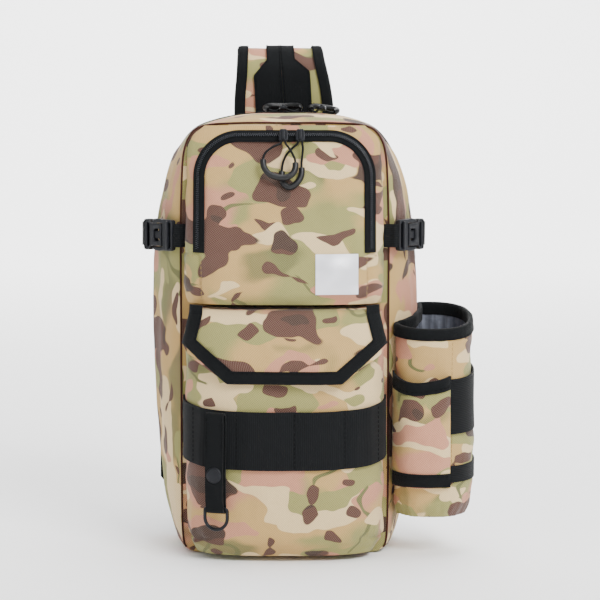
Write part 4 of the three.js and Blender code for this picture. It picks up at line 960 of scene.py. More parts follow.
def camouflage_group():
    """Generic camouflage: soft grounds, then cut-out shapes, each from its own noise."""
    group, g, entry, leave = node_group("Camouflage print", [
        ("Vector", "NodeSocketVector", None), ("Scale", "NodeSocketFloat", 1.0),
        *((name, "NodeSocketColor", None) for name in CAMOUFLAGE)], [("Color", "NodeSocketColor")])
    if g is None:
        return group
    sized = g.vector("SCALE", entry["Vector"], entry["Scale"])
    warp = g.node("ShaderNodeTexNoise", {"Vector": sized, "Scale": 46.0, "Detail": 1.0},
                  noise_dimensions="2D").outputs[1]
    bent = g.vector("SCALE", g.vector("SUBTRACT", warp, (0.5, 0.5, 0.5)), 0.010)
    place = g.vector("ADD", sized, bent)

    def field(shift, scale, wide=1.0, detail=0.0, turn=0.0):
        spot = g.placed(place, shift=(shift, shift * 0.7, 0), scale=(1 / wide, 1, 1), turn=turn)
        return g.noise(spot, scale, detail)

    def shape(value, edge, soft=0.004):
        return g.ramp(value, edge - soft, edge + soft)

    twig = g.math("ABSOLUTE", g.math("SUBTRACT", field(15.9, 17, 1.2, 0.5, 0.9), 0.5))
    twig_line = g.math("SUBTRACT", 1.0, g.ramp(twig, 0.014, 0.020))
    brown = g.math("MAXIMUM", shape(field(25.5, 19, 1.7, 0.9, -0.15), 0.648),
                   shape(field(44.9, 33, 1.7, 0.7, 0.25), 0.712))
    dark = g.math("MULTIPLY", shape(field(33.8, 34, 1.6, 0.0, 0.5), 0.60), brown)
    layers = [
        # Soft grounds, as if sprayed
        ("Green", g.ramp(field(1.3, 11, 1.3), 0.47, 0.58)),
        ("Pink", g.ramp(field(4.1, 13, 1.5, 1.0), 0.54, 0.62)),
        ("Olive", g.math("MULTIPLY", g.ramp(field(40.6, 17, 1.6, 1.0, 0.3), 0.58, 0.68), 0.8)),
        ("Tan", g.ramp(field(7.7, 22, 1.4), 0.57, 0.68)),
        # Cut-out shapes, from light to dark, and small pale ones between the brown
        ("Cream", shape(field(9.2, 27, 1.9, 0.8, 0.2), 0.625)),
        ("Green", shape(field(12.6, 26, 1.5, 0.6, -0.5), 0.635)),
        ("Olive", g.math("MULTIPLY", twig_line, shape(field(18.4, 14), 0.60, 0.01))),
        ("Pink", shape(field(21.1, 33, 1.8, 0.8, 0.1), 0.655)),
        ("Brown", brown),
        ("Brown", shape(field(29.3, 58, 1.6, 0.0, 0.3), 0.745)),
        ("Dark", g.math("MULTIPLY", dark, 0.75)),
        ("Cream", g.math("MULTIPLY", shape(field(36.9, 44, 2.0), 0.725),
                         g.math("SUBTRACT", 1.0, brown))),
    ]
    printed = entry["Tan"]
    for name, share in layers:
        printed = g.mix(share, printed, entry[name])
    g.feed(leave["Color"], printed)
    return group


def new_material(name, tint, roughness, metallic=0.0, specular=0.3):
    """A bare material with its graph and its shader."""
    made = bpy.data.materials.new(name)
    made.use_nodes = True
    made.diffuse_color = (*tint, 1)
    shader = made.node_tree.nodes["Principled BSDF"]
    shader.inputs["Base Color"].default_value = (*tint, 1)
    shader.inputs["Roughness"].default_value = roughness
    shader.inputs["Metallic"].default_value = metallic
    shader.inputs["Specular IOR Level"].default_value = specular
    return made, Graph(made.node_tree), shader


def add_bump(g, shader, layers):
    """Chains bumps of (height, distance, strength) into the shader's normal."""
    normal = None
    for height, distance, strength in layers:
        inputs = {"Height": height, "Distance": distance, "Strength": strength}
        if normal is not None:
            inputs["Normal"] = normal
        normal = g.node("ShaderNodeBump", inputs).outputs[0]
    g.feed(shader.inputs["Normal"], normal)


def camouflage_cloth(colours):
    """Printed polyester, with slubs and soft creases."""
    made, g, shader = new_material("camouflage_cloth", colours.tan, 0.82, specular=0.18)
    spot = g.cloth_place()
    inputs = {"Vector": spot, "Scale": 1.0}
    inputs.update({name: (*getattr(colours, name.lower()), 1) for name in CAMOUFLAGE})
    pattern = g.node("ShaderNodeGroup", inputs, node_tree=camouflage_group())
    weave = g.weave(spot, 680.0, 38)
    slub = g.noise(g.placed(spot, scale=(1, 0.35, 1)), 900.0, 2.0)
    # Painted shade between the threads and painted highlight on their tops, with uneven yarn tone
    # from the slubs
    light = g.math("ADD", g.ramp(weave.outputs["Height"], 0.1, 1.0, 0.76, 1.08),
                   g.math("MULTIPLY", g.math("SUBTRACT", slub, 0.5), 0.16))
    print_colour = g.shaded(pattern.outputs["Color"], light)
    # Painted highlight: the thread tops are mixed towards a pale tan, which shows most where the
    # print is dark
    lift = g.math("MULTIPLY", g.ramp(weave.outputs["Height"], 0.55, 1.0), 0.15)
    g.feed(shader.inputs["Base Color"], g.mix(lift, print_colour, (0.55, 0.46, 0.36, 1)))
    shader.inputs["Sheen Weight"].default_value = 0.12
    shader.inputs["Sheen Roughness"].default_value = 0.5
    crease = g.noise(spot, 46.0, 4.0, 0.55)
    add_bump(g, shader, [(crease, 0.0026, 0.5), (weave.outputs["Height"], 0.00022, 0.5)])
    return made


def woven_cloth(name, tint, threads, roughness=0.85, height=0.0002, shade=0.25, sheen=0.05):
    """Plain cloth of one colour."""
    made, g, shader = new_material(name, tint, roughness, specular=0.14)
    spot = g.cloth_place()
    weave = g.weave(spot, threads, 45)
    # Painted shade between the threads and painted highlight on their tops
    light = g.ramp(weave.outputs["Height"], 0.1, 1.0, 1 - shade, 1 + shade)
    g.feed(shader.inputs["Base Color"], g.shaded((*tint, 1), light))
    shader.inputs["Sheen Weight"].default_value = sheen
    shader.inputs["Sheen Roughness"].default_value = 0.4
    crease = g.noise(spot, 120.0, 3.0)
    add_bump(g, shader, [(crease, 0.0006, 0.4), (weave.outputs["Height"], height, 0.6)])
    return made


def black_webbing(colours, turn=0.0):
    """Ribbed webbing, with its ribs turned on the cloth's UV map."""
    made, g, shader = new_material("black_webbing", colours.webbing, 0.8, specular=0.14)
    spot = g.placed(g.cloth_place(), turn=turn)
    ribs = g.node("ShaderNodeGroup", {"Vector": spot}, node_tree=rib_group())
    # Painted shade between the ribs and painted highlight on their tops
    g.feed(shader.inputs["Base Color"], g.shaded((*colours.webbing, 1), ribs.outputs["Shade"]))
    shader.inputs["Sheen Weight"].default_value = 0.03
    add_bump(g, shader, [(ribs.outputs["Height"], 0.0004, 0.7)])
    return made


def air_mesh(colours):
    """Open mesh with small round holes."""
    made, g, shader = new_material("air_mesh", colours.cloth, 0.9, specular=0.15)
    spot = g.cloth_place()
    holes = g.node("ShaderNodeTexVoronoi", {"Vector": spot, "Scale": 420.0, "Randomness": 0.15},
                   voronoi_dimensions="2D").outputs[0]
    depth = g.ramp(holes, 0.18, 0.42)
    # Painted shade: the holes are coloured near black
    g.feed(shader.inputs["Base Color"], g.mix(depth, (0.002, 0.002, 0.003, 1), (*colours.cloth, 1)))
    shader.inputs["Sheen Weight"].default_value = 0.2
    add_bump(g, shader, [(depth, 0.0007, 0.8)])
    return made


def foil_lining(colours):
    """Silver-grey coated lining, with painted shade in streaks along its folds."""
    made, g, shader = new_material("foil_lining", colours.lining, 0.34, metallic=0.55, specular=0.5)
    spot = g.cloth_place()
    streak = g.noise(g.placed(spot, scale=(1, 0.12, 1)), 190.0, 3.0)
    crease = g.noise(spot, 150.0, 4.0)
    # Painted shade: the lining is darker where the fold streaks are low, from the same noise as the
    # fold bump
    dim = tuple(v * 0.6 for v in colours.lining)
    tint = g.mix(g.ramp(streak, 0.35, 0.65), (*dim, 1), (*colours.lining, 1))
    g.feed(shader.inputs["Base Color"], tint)
    add_bump(g, shader, [(streak, 0.001, 0.5), (crease, 0.0012, 0.4)])
    return made


def grained(name, tint, roughness, metallic=0.0, specular=0.4, grain=2600.0, depth=0.00006):
    """Moulded, painted or rubber surface with a fine grain, in the object's own space."""
    made, g, shader = new_material(name, tint, roughness, metallic, specular)
    spot = g.node("ShaderNodeTexCoord").outputs["Object"]
    speck = g.node("ShaderNodeTexNoise", {"Vector": spot, "Scale": grain, "Detail": 2.0}).outputs[0]
    cloud = g.node("ShaderNodeTexNoise", {"Vector": spot, "Scale": 160.0, "Detail": 2.0}).outputs[0]
    g.feed(shader.inputs["Roughness"], g.ramp(cloud, 0.3, 0.7, roughness - 0.06, roughness + 0.08))
    add_bump(g, shader, [(speck, depth, 0.5)])
    return made


def label_sheet(colours):
    """Bare reflective patch with a soft haze."""
    made, g, shader = new_material("silver_label", colours.label, 0.38, metallic=0.15, specular=0.5)
    spot = g.cloth_place()
    haze = g.noise(g.placed(spot, turn=0.6, scale=(0.5, 1, 1)), 60.0, 1.0)
    dim = tuple(v * 0.88 for v in colours.label)
    tint = g.mix(g.ramp(haze, 0.35, 0.7), (*dim, 1), (*colours.label, 1))
    g.feed(shader.inputs["Base Color"], tint)
    add_bump(g, shader, [(g.noise(spot, 90.0, 2.0), 0.0006, 0.3)])
    return made


def floor_sheet(colours):
    """Plain matt floor."""
    return new_material("studio_floor", colours.floor, 0.9, specular=0.1)[0]


RECIPES = {
    "camouflage": camouflage_cloth,
    "webbing": black_webbing,
    "band": lambda c: black_webbing(c, math.pi / 2),
    "air_mesh": air_mesh,
    "lining": foil_lining,
    "label": label_sheet,
    "floor": floor_sheet,
    "tape": lambda c: woven_cloth("black_tape", c.cloth, 1300.0),
    "zip_tape": lambda c: woven_cloth("zip_tape", c.cloth, 1700.0, shade=0.2),
    # Painted highlight: the zip teeth are a much lighter copy of the rubber colour
    "coil": lambda c: grained("zip_coil", tuple(v * 16 for v in c.rubber), 0.4),
    # Painted shade: the bed under the teeth is a darker copy of the rubber colour
    "coil_bed": lambda c: grained("zip_bed", tuple(v * 0.7 for v in c.rubber), 0.75, specular=0.1),
    # The seam cord is real, but its dark brown is painted shade along the fold of the front seam
    "piping": lambda c: woven_cloth("seam_shade_cord", tuple(v * 0.6 for v in c.brown), 1300.0),
    "cord": lambda c: woven_cloth("braided_cord", c.cloth, 2400.0, 0.6, 0.0001, 0.3),
    "moulded": lambda c: grained("moulded_black", c.moulded, 0.46, specular=0.32),
    "metal": lambda c: grained("dark_metal", c.metal, 0.38, metallic=0.5),
    "rubber": lambda c: grained("rubber_tube", c.rubber, 0.42, specular=0.35),
    "black_thread": lambda c: grained("black_thread", c.thread, 0.85, specular=0.12),
    "tan_thread": lambda c: grained("tan_thread", tuple(v * 0.62 for v in c.tan), 0.7),
}


def material(name):
    """The material of this name, made at its first use."""
    key = "bag_" + name
    if key not in bpy.data.materials:
        made = RECIPES[name](bpy.context.scene.bag_colours)
        made.name = key
    return bpy.data.materials[key]


# Pieces

def ring_shares(count):
    """Shares round the main compartment, closer together at its corners."""
    return [(i + 0.32 * math.sin(4 * math.pi * i / count) * count / (4 * math.pi)) / count
            for i in range(count)]


def body_relief(point, y, front_y):
    """Soft folds of the gusset, gathered towards the front seam."""
    near = math.exp(-(y - front_y) / 0.012)
    fold = rumple(point, 0.055, 1) * 0.0022
    tuck = rumple((point.x * 0.3, point.y * 0.4, point.z), 0.011, 2) * 0.0012 * near
    foot = smooth(0.0, 0.05, point.z)
    fold *= 1 - smooth(-0.008, 0.003, y) * smooth(0.032, 0.022, y)
    lip = 0.0024 * math.exp(-((y + 0.003) / 0.007) ** 2) * smooth(0.362, 0.345, point.z)
    return foot * (lip + (fold + tuck) * smooth(0, 0.006, y - front_y))


class BAG_OT_main_compartment(bpy.types.Operator):
    """The hollow main compartment, its piping and its padded back"""
    bl_idname = "bag.main_compartment"
    bl_label = "Main compartment"

    def execute(self, context):
        shapes = Shapes(context.scene.bag_sizes)
        front, back = shapes.front_y, shapes.back_y
        places = ring_shares(240)
        depths = [front, front + 0.0006, front + 0.002]
        depths += steps(front + 0.005, back - 0.002, 38) + [back]
        rings = []
        for y in depths:
            inset = -0.0008 if y == front else -0.0002 if y < front + 0.001 else 0
            ring = []
            for u in places:
                point = shapes.body(u, y)
                ring.append(shapes.body(u, y, inset + body_relief(point, y, front)))
            rings.append(ring)
        body = loft_mesh("compartment_cloth", rings, "camouflage", start=(0.31, 0.17))
        settle(body, "camouflage", "main_body")

        middle = shapes.s.body_height / 2
        rings = []
        for out, share in PADDING_ROWS:
            ring = []
            for p in (shapes.body(u, back) for u in places):
                reach = out + 0.0055 * smooth(0.30, 0.345, p.z) * smooth(0.040, 0.062, abs(p.x))
                ring.append(Vector((p.x * (1 + reach / 0.105),
                                    shapes.panel_y + PANEL_THICKNESS * share,
                                    middle + (p.z - middle) * (1 + reach / 0.185))))
            rings.append(ring)
        panel = loft_mesh("back_padding", rings, "air_mesh", start=(0.9, 0.4),
                          caps=steps(0.98, 0.04, 30))
        for vertex in panel.data.vertices:
            x, y, z = vertex.co
            if y > shapes.panel_face - 0.0004:
                channel = math.exp(-(x / 0.013) ** 2)
                rib = max(math.exp(-((z - level) / 0.009) ** 2) for level in (0.10, 0.19, 0.28))
                vertex.co.y -= 0.0035 * max(channel, rib) * smooth(0.100, 0.075, abs(x))
        settle(panel, "black_cloth", "back_panel")

        # Cord along the front seam, coloured dark brown as painted shade of the seam's fold
        line = Route([shapes.body(u, front, 0.0002) - Vector((0, 0.0003, 0))
                      for u in steps(*PIPING_RUN, 60)], 6)
        piping = loft_mesh("seam_piping", tube_points(line, 0.0009, 260, 8), "piping")
        settle(piping, "black_cloth", "front_piping")
        return {"FINISHED"}


def tooth(points, faces, place, along, across, out, size):
    """One rounded zip tooth as an eight-cornered block, narrower on top."""
    first = len(points)
    long, wide, high = size
    for level, inset in ((0, 1.0), (1, 0.62)):
        for a, b in ((-1, -1), (1, -1), (1, 1), (-1, 1)):
            points.append(place + along * a * long * inset + across * b * wide * (inset + 1) / 2
                          + out * high * level)
    for ring in ((3, 2, 1, 0), (4, 5, 6, 7), (0, 1, 5, 4), (1, 2, 6, 5), (2, 3, 7, 6),
                 (3, 0, 4, 7)):
        faces.append([first + k for k in ring])


def zip_teeth(name, edge, count, width, lift):
    """Two rows of teeth along edge(share, inset, lift), meeting in the middle of their width."""
    points, faces = [], []
    ahead_by = 0.3
    for i in range(count):
        share = (i + 0.5) / count
        left, right = edge(share, 0, lift), edge(share, width, lift)
        ahead = edge(min(1, share + ahead_by / count), width / 2, lift)
        behind = edge(max(0, share - ahead_by / count), width / 2, lift)
        across = (right - left).normalized()
        along = (ahead - behind).normalized()
        out = (edge(share, width / 2, lift + 0.001) - edge(share, width / 2, lift)).normalized()
        pitch = (ahead - behind).length / (2 * ahead_by)
        for side, shift in ((-1, -0.25), (1, 0.25)):
            middle = left.lerp(right, 0.5 + side * 0.15) + along * shift * pitch
            size = (pitch * 0.15, width * 0.22, 0.0010)
            tooth(points, faces, middle, along, across, out, size)
    settle(new_object(name, points, faces, None, "coil", 30), "zip_coil")


def zip_groove(edge, width):
    """The coil's bed, a low rounded strip under its teeth."""
    def bed(share, across, lift):
        hump = math.sin(math.pi * clamp(across / width, 0, 1)) ** 0.5
        return edge(share, across, lift * (0.35 + 0.65 * hump))
    return bed


def sew_edge(sewing, surface, shares, column, lift):
    """Stitches along surface(share, column, lift)."""
    points = [surface(share, column, lift) for share in shares]
    middle = surface(shares[len(shares) // 2], column, lift)
    outward = (surface(shares[len(shares) // 2], column, lift + 0.001) - middle).normalized()
    sewing.run(points, lambda point: outward)


class BAG_OT_zips(bpy.types.Operator):
    """Zip of the main compartment and dome zip of the upper pocket"""
    bl_idname = "bag.zips"
    bl_label = "Zips"

    def execute(self, context):
        sizes = context.scene.bag_sizes
        shapes = Shapes(sizes)

        def top_edge(share, across, lift):
            y = MAIN_ZIP_PLACE - MAIN_TAPE / 2 + across
            return shapes.body(lerp(*MAIN_ZIP_RUN, share), y, lift)

        def top_coil(share, across, lift):
            return top_edge(share, across + MAIN_COIL_INSET, lift)

        layer_mesh("main_zip_cloth", top_edge, steps(0, 1, 150), steps(0, MAIN_TAPE, 8), 0.0003,
                   0.0013, "zip_tape", "black_cloth", "main_zip_tape")
        layer_mesh("main_zip_bed", zip_groove(top_coil, MAIN_COIL), steps(0, 1, 150),
                   steps(0, MAIN_COIL, 6), MAIN_COIL_LIFT - GAP, MAIN_COIL_LIFT + 0.0010,
                   "coil_bed", "zip_coil", "main_zip_coil")
        zip_teeth("main_zip_teeth", top_coil, 340, MAIN_COIL, MAIN_COIL_LIFT + 0.0003)
        sewing = Sewing(sizes)
        for column in (0.0018, 0.0142):
            sew_edge(sewing, top_edge, steps(0, 1, 300), column, 0.0013)
        sewing.finish("main_zip_stitches", "black_thread", "black_cloth")

        def coil(share, across, lift):
            return shapes.dome(lerp(0.01, 0.99, share), COIL_EDGE + 0.0004 + across, lift)

        layer_mesh("upper_zip_cloth", shapes.dome, steps(0, 1, 200), steps(0, DOME_TAPE, 8),
                   -0.0004, 0.0012, "zip_tape", "black_cloth", "upper_zip_tape")
        layer_mesh("upper_zip_bed", zip_groove(coil, COIL), steps(0, 1, 200), steps(0, COIL, 6),
                   0.0010, 0.0019, "coil_bed", "zip_coil", "upper_zip_coil")
        zip_teeth("upper_zip_teeth", coil, 190, COIL, 0.0014)
        sewing = Sewing(sizes)
        sew_edge(sewing, shapes.dome, steps(0, 1, 300), DOME_TAPE - 0.0012, 0.0012)
        sewing.finish("upper_zip_stitches", "black_thread", "black_cloth")
        return {"FINISHED"}


def pocket_cloth(pocket, relief, top):
    """A pocket as surface(turn, v, lift): its floor below v = 0, its wall, and its top above 1."""
    def surface(turn, v, lift):
        z = pocket.base + clamp(v, 0, 1) * pocket.height
        share = min(1, 1 + v, 2 - v)
        point = pocket.around(turn, z, lift * share + relief(pocket.around(turn, z)) * share)
        point.x *= max(share, 0.02)
        point.y = pocket.wall_y + (point.y - pocket.wall_y) * max(share, 0.02)
        if share < 1:
            point.z += lift * (-1 if v < 0 else 1) * (1 - share)
        return point
    rows = [-0.98, -0.7, -0.4, -0.18, -0.06, -0.02] + steps(0, 1, 84)
    return surface, rows + ([1.05, 1.3, 1.6, 1.9] if top else [])


def line_groove(distance, depth, width):
    """Relief of a seam pulled into the cloth, at a distance from it."""
    return -depth * math.exp(-(distance / width) ** 2)


class BAG_OT_upper_pocket(bpy.types.Operator):
    """The upper pocket with its label"""
    bl_idname = "bag.upper_pocket"
    bl_label = "Upper pocket"

    def execute(self, context):
        sizes = context.scene.bag_sizes
        shapes = Shapes(sizes)
        pocket = shapes.upper
        foot = sizes.upper_base + sizes.upper_height * DOME_FOOT

        def relief(point):
            x, z = point.x, point.z
            rise = z - sizes.upper_base
            low = smooth(foot + 0.004, foot - 0.006, z)
            bump = folds(point, (0.05, 0.0016, 5), (0.017, 0.0006, 6))
            bump += line_groove(abs(x) - SIDE_SEAM, 0.0016, 0.0022) * low
            side = rumple((x * 0.3, point.y * 0.3, z), 0.014, 9) * 0.0008
            base = rumple((x, point.y, z * 0.4), 0.016, 10) * 0.0009
            bump += side * smooth(0.070, 0.084, abs(x))
            bump += base * smooth(0.020, 0.006, rise)
            if abs(x) > SIDE_SEAM:
                bump += line_groove(z - foot + 0.001, 0.0009, 0.0013)
                bump += rumple(point, 0.012, 8) * 0.0007 * low
            bump += 0.0016 * low * smooth(0.078, 0.05, abs(x)) * math.sin(
                clamp(rise / (foot - sizes.upper_base), 0, 1) * math.pi)
            return bump * smooth(0.0, 0.004, rise)

        surface, rows = pocket_cloth(pocket, relief, True)
        layer_mesh("upper_pocket_cloth", surface, spread_out(150), rows, -0.0012, 0.0, "camouflage",
                   "camouflage", "upper_pocket", start=(1.93, 2.4))

        def patch(x, z, lift):
            return pocket.front(x, z, lift + relief(pocket.front(x, z)))

        base = sizes.upper_base + sizes.upper_height * LABEL_BASE
        layer_mesh("bare_label", patch, steps(LABEL_LEFT, LABEL_LEFT + sizes.label_width, 16),
                   steps(base, base + sizes.label_height, 16), 0.0003, 0.0010, "label", "label",
                   "label_patch")

        sewing = Sewing(sizes)
        for side in (-1, 1):
            level = [patch(side * x, foot - 0.003, 0.0002) for x in steps(0.0765, 0.0855, 10)]
            upright = []
            for z in steps(sizes.upper_base + 0.004, foot - 0.002, 30):
                turn = pocket.turn_at(side * SIDE_STITCH, z)
                upright.append(surface(turn, (z - pocket.base) / pocket.height, 0.0002))
            sewing.run(level, lambda point: FRONT)
            sewing.run(upright, lambda point: FRONT)
        sewing.finish("upper_pocket_stitches", "tan_thread", "camouflage")
        return {"FINISHED"}


class BAG_OT_lower_pocket(bpy.types.Operator):
    """The lower pocket and the ribbed band round it"""
    bl_idname = "bag.lower_pocket"
    bl_label = "Lower pocket"

    def execute(self, context):
        sizes = context.scene.bag_sizes
        shapes = Shapes(sizes)
        pocket = shapes.lower
        band = (sizes.band_base, sizes.band_base + sizes.band_width)

        def relief(point):
            x, z = point.x, point.z
            corner = smooth(0.055, 0.075, abs(x))
            bump = folds(point, (0.06, 0.0022, 11), (0.02, 0.0007, 12))
            bump += line_groove(z - 0.019 + 0.1 * (abs(x) - 0.07), 0.0022, 0.0016) * corner
            tuck = rumple((x, point.y, z * 0.5), 0.013, 13) * 0.0016
            bump += tuck * corner * smooth(0.060, 0.02, z)
            held = smooth(band[0] - 0.012, band[0], z) * smooth(band[1] + 0.012, band[1], z)
            bump = lerp(bump, min(bump, 0) * 0.3 - 0.0004, held)
            return bump * smooth(0.0, 0.006, z - pocket.base)

        surface, rows = pocket_cloth(pocket, relief, False)
        layer_mesh("lower_pocket_cloth", surface, spread_out(160), rows, -0.0014, 0.0, "camouflage",
                   "camouflage", "lower_pocket", start=(3.37, 0.83))

        middle = (band[0] + band[1]) / 2

        def strip(turn, z, lift):
            point = pocket.around(turn, z)
            near = min(abs(point.x - seam) for seam in BAND_SEAMS)
            swell = 0.0011 * smooth(0.0, 0.010, near) - 0.0003
            ripple = 0.0004 * math.sin((z - middle) * 120) * smooth(0.004, 0.012, near)
            sag = 0.010 - 0.008 * math.sin(math.pi * turn) ** 0.8
            bump = swell + ripple + rumple(point, 0.05, 14) * 0.0003
            return pocket.around(turn, z + sag, lift + bump)

        layer_mesh("ribbed_band", strip, spread_out(220), steps(*band, 20), SEAT - 0.0002,
                   SEAT + WEBBING, "band", "black_webbing", "webbing_band")
        sewing = Sewing(sizes, 0.001)
        for seam in BAND_SEAMS:
            turn = pocket.turn_at(seam, middle)
            points = [strip(turn, z, SEAT + WEBBING)
                      for z in steps(band[0] + 0.001, band[1] - 0.001, 30)]
            out = (strip(turn, middle, 0.003) - strip(turn, middle, 0.002)).normalized()
            sewing.run(points, lambda point, out=out: out)
        sewing.finish("band_stitches", "black_thread", "black_webbing")
        return {"FINISHED"}


def offset_corners(corners, inset):
    """An open row of corners moved inwards by inset, with mitred corners."""
    lines = []
    for (x0, z0), (x1, z1) in zip(corners, corners[1:]):
        size = math.hypot(x1 - x0, z1 - z0)
        nx, nz = -(z1 - z0) / size, (x1 - x0) / size
        lines.append((x0 + nx * inset, z0 + nz * inset, x1 - x0, z1 - z0))
    out = [lines[0][:2]]
    for (ax, az, adx, adz), (bx, bz, bdx, bdz) in zip(lines, lines[1:]):
        cross = adx * bdz - adz * bdx
        t = ((bx - ax) * bdz - (bz - az) * bdx) / cross
        out.append((ax + adx * t, az + adz * t))
    x, z, dx, dz = lines[-1]
    return out + [(x + dx, z + dz)]


def along_corners(corners, count):
    """count + 1 points for each side between corners."""
    out = []
    for k, ((x0, z0), (x1, z1)) in enumerate(zip(corners, corners[1:])):
        for share in steps(0, 1, count)[(1 if k else 0):]:
            out.append((lerp(x0, x1, share), lerp(z0, z1, share)))
    return out


class BAG_OT_flap(bpy.types.Operator):
    """The six-sided flap of the lower pocket and its bound edge"""
    bl_idname = "bag.flap"
    bl_label = "Flap"

    def execute(self, context):
        sizes = context.scene.bag_sizes
        shapes = Shapes(sizes)
        drop = sizes.flap_drop

        def cloth(u, place, lift):
            point = shapes.flap(u, place, lift)
            bump = folds(point, (0.055, 0.0024, 21), (0.02, 0.0007, 22))
            point.y -= bump * smooth(-0.1, 0.15, place)
            return point

        places = steps(-0.7, -0.06, 14) + steps(-0.04, 0.12, 10) + steps(0.14, 1, 46)
        layer_mesh("flap_cloth", cloth, steps(-1, 1, 90), places, 0.0004, FLAP_CLOTH - 0.0004,
                   "camouflage", "camouflage", "flap", start=(5.1, 1.21))

        half = sizes.pocket_width / 2
        side = [(0.94, 0.0078), (0.945, 0.0), (1.02, -0.44 * drop), (0.56, -drop)]
        corners = [(-x * half, z) for x, z in side] + [(x * half, z) for x, z in side[::-1]]
        width = sizes.flap_binding
        rows = [along_corners(offset_corners(corners, share * width), 26)
                for share, _ in FOLDED_TAPE]
        rings = []
        for k in range(len(rows[0])):
            ring = []
            for (share, face), row in zip(FOLDED_TAPE, rows):
                x, z = row[k]
                place = clamp(-z / drop, 0, 1)
                lift = FLAP_CLOTH / 2 + face * (FLAP_CLOTH / 2 + 0.0006)
                point = cloth(clamp(x / shapes.flap_half(place), -1.06, 1.06), place, lift)
                point.z = max(point.z, shapes.lower_top + z)
                ring.append(point)
            rings.append(ring)
        binding = loft_mesh("flap_tape", rings, "tape", caps=(0.9,), angle=60)
        settle(binding, "black_cloth", "flap_binding")
        sewing = Sewing(sizes)
        seam = along_corners(offset_corners(corners, width * 0.86), 26)
        points = []
        for x, z in seam:
            place = clamp(-z / drop, 0, 1)
            u = clamp(x / shapes.flap_half(place), -1, 1)
            points.append(cloth(u, place, FLAP_CLOTH + 0.0007))
        sewing.run(points, lambda point: FRONT)
        sewing.finish("flap_stitches", "black_thread", "black_cloth")
        return {"FINISHED"}


def lathe(name, profile, to_world, look, count=40):
    """A round piece from its half profile of (radius, height)."""
    points, faces = [], []
    for radius, height in profile:
        for k in range(count):
            angle = k / count * math.tau
            points.append(to_world @ Vector((radius * math.cos(angle), radius * math.sin(angle),
                                             height)))
    for r in range(len(profile) - 1):
        for k in range(count):
            a, b = r * count + k, r * count + (k + 1) % count
            faces.append([a, b, b + count, a + count])
    last = (len(profile) - 1) * count
    faces.append(list(range(count))[::-1])
    faces.append(list(range(last, last + count)))
    return new_object(name, points, faces, None, look)


class BAG_OT_hanging_loop(bpy.types.Operator):
    """The webbing loop over the band, its snap and its ring"""
    bl_idname = "bag.hanging_loop"
    bl_label = "Hanging loop"

    def execute(self, context):
        sizes = context.scene.bag_sizes
        shapes = Shapes(sizes)
        middle = sizes.band_base + sizes.band_width / 2
        seat = shapes.lower.front(LOOP_X, middle, SEAT + WEBBING + GAP)
        out = Vector((math.sin(LOOP_YAW), -math.cos(LOOP_YAW), 0))
        side = Vector((math.cos(LOOP_YAW), math.sin(LOOP_YAW), 0))
        origin = seat + out * (LOOP_FOLD + WEBBING / 2)
        origin.z = LOOP_TOP - LOOP_DROP
        top = LOOP_DROP - LOOP_FOLD

        def fold(start, end, height):
            return [(LOOP_FOLD * math.cos(a), height + LOOP_FOLD * math.sin(a))
                    for a in steps(start, end, 14)]

        line = fold(math.pi, math.tau, 0) + [(LOOP_FOLD, z) for z in steps(0.004, top - 0.003, 26)]
        line += fold(0, math.pi, top) + [(-LOOP_FOLD, z) for z in steps(top - 0.003, 0.004, 26)]

        def strap(share, x, lift):
            k = round(share * len(line)) % len(line)
            (a, c), (b, d) = line[k - 1], line[(k + 1) % len(line)]
            size = math.hypot(b - a, d - c)
            reach, rise = line[k]
            bow = 0.0006 * math.sin(rise * 60) + 0.0005 * math.sin(rise * 31 + 1)
            reach += (d - c) / size * lift + (bow if 0.004 < rise < top - 0.004 else 0)
            return origin + side * x + out * reach + Vector((0, 0, rise - (b - a) / size * lift))

        layer_mesh("loop_webbing", strap, [k / len(line) for k in range(len(line))],
                   steps(-LOOP_WIDTH / 2, LOOP_WIDTH / 2, 6), -WEBBING / 2, WEBBING / 2, "tape",
                   "black_webbing", "hanging_loop", loop=True)
        sewing = Sewing(sizes, 0.001)
        for x in (-LOOP_WIDTH / 2 + 0.0012, LOOP_WIDTH / 2 - 0.0012):
            edge = origin + side * x + out * (LOOP_FOLD + WEBBING / 2 + 0.0003)
            points = [edge + Vector((0, 0, z)) for z in steps(0.004, top, 30)]
            sewing.run(points, lambda point: out)
        sewing.finish("loop_stitches", "black_thread", "black_webbing")

        face = origin + out * (LOOP_FOLD + WEBBING / 2 + 0.0001)
        face.z += LOOP_DROP * SNAP_RISE
        snap = lathe("snap_button", SNAP_PROFILE, frame_matrix(side, UP, out, face), "metal")
        settle(snap, "dark_metal", "snap_cap")

        half = (LOOP_WIDTH + 0.003) / 2 + 0.0008
        leg = RING_DROP - half
        bend = [(0.0018, 0.0), (0.0006, -0.0004), (0.0001, -0.0014)]
        ring = [(half - bend[0][0], 0.0)] + [(x, 0.0) for x in steps(half - 0.003, 0.003 - half, 8)]
        ring += [(inset - half, z) for inset, z in bend] + [(-half, -leg)]
        ring += [(-half * math.cos(a), -leg - half * math.sin(a))
                 for a in steps(0.15, math.pi - 0.15, 22)]
        ring += [(half, -leg)] + [(half - inset, z) for inset, z in bend[:0:-1]]
        count, sides = len(ring), 12
        points, faces = [], []
        for k, (x, z) in enumerate(ring):
            (a, c), (b, d) = ring[k - 1], ring[(k + 1) % count]
            size = math.hypot(b - a, d - c)
            across = side * ((d - c) / size) + Vector((0, 0, -(b - a) / size))
            middle = origin + side * x + Vector((0, 0, z))
            low, high = k * sides, (k + 1) % count * sides
            for turn in range(sides):
                angle, after = turn / sides * math.tau, (turn + 1) % sides
                points.append(middle + across * RING_WIRE * math.cos(angle)
                              + out * RING_WIRE * math.sin(angle))
                faces.append([low + turn, low + after, high + after, high + turn])
        ring_object = new_object("hanging_ring", points, faces, None, "metal", 70)
        settle(ring_object, "dark_metal", "d_ring", body="ring")
        return {"FINISHED"}


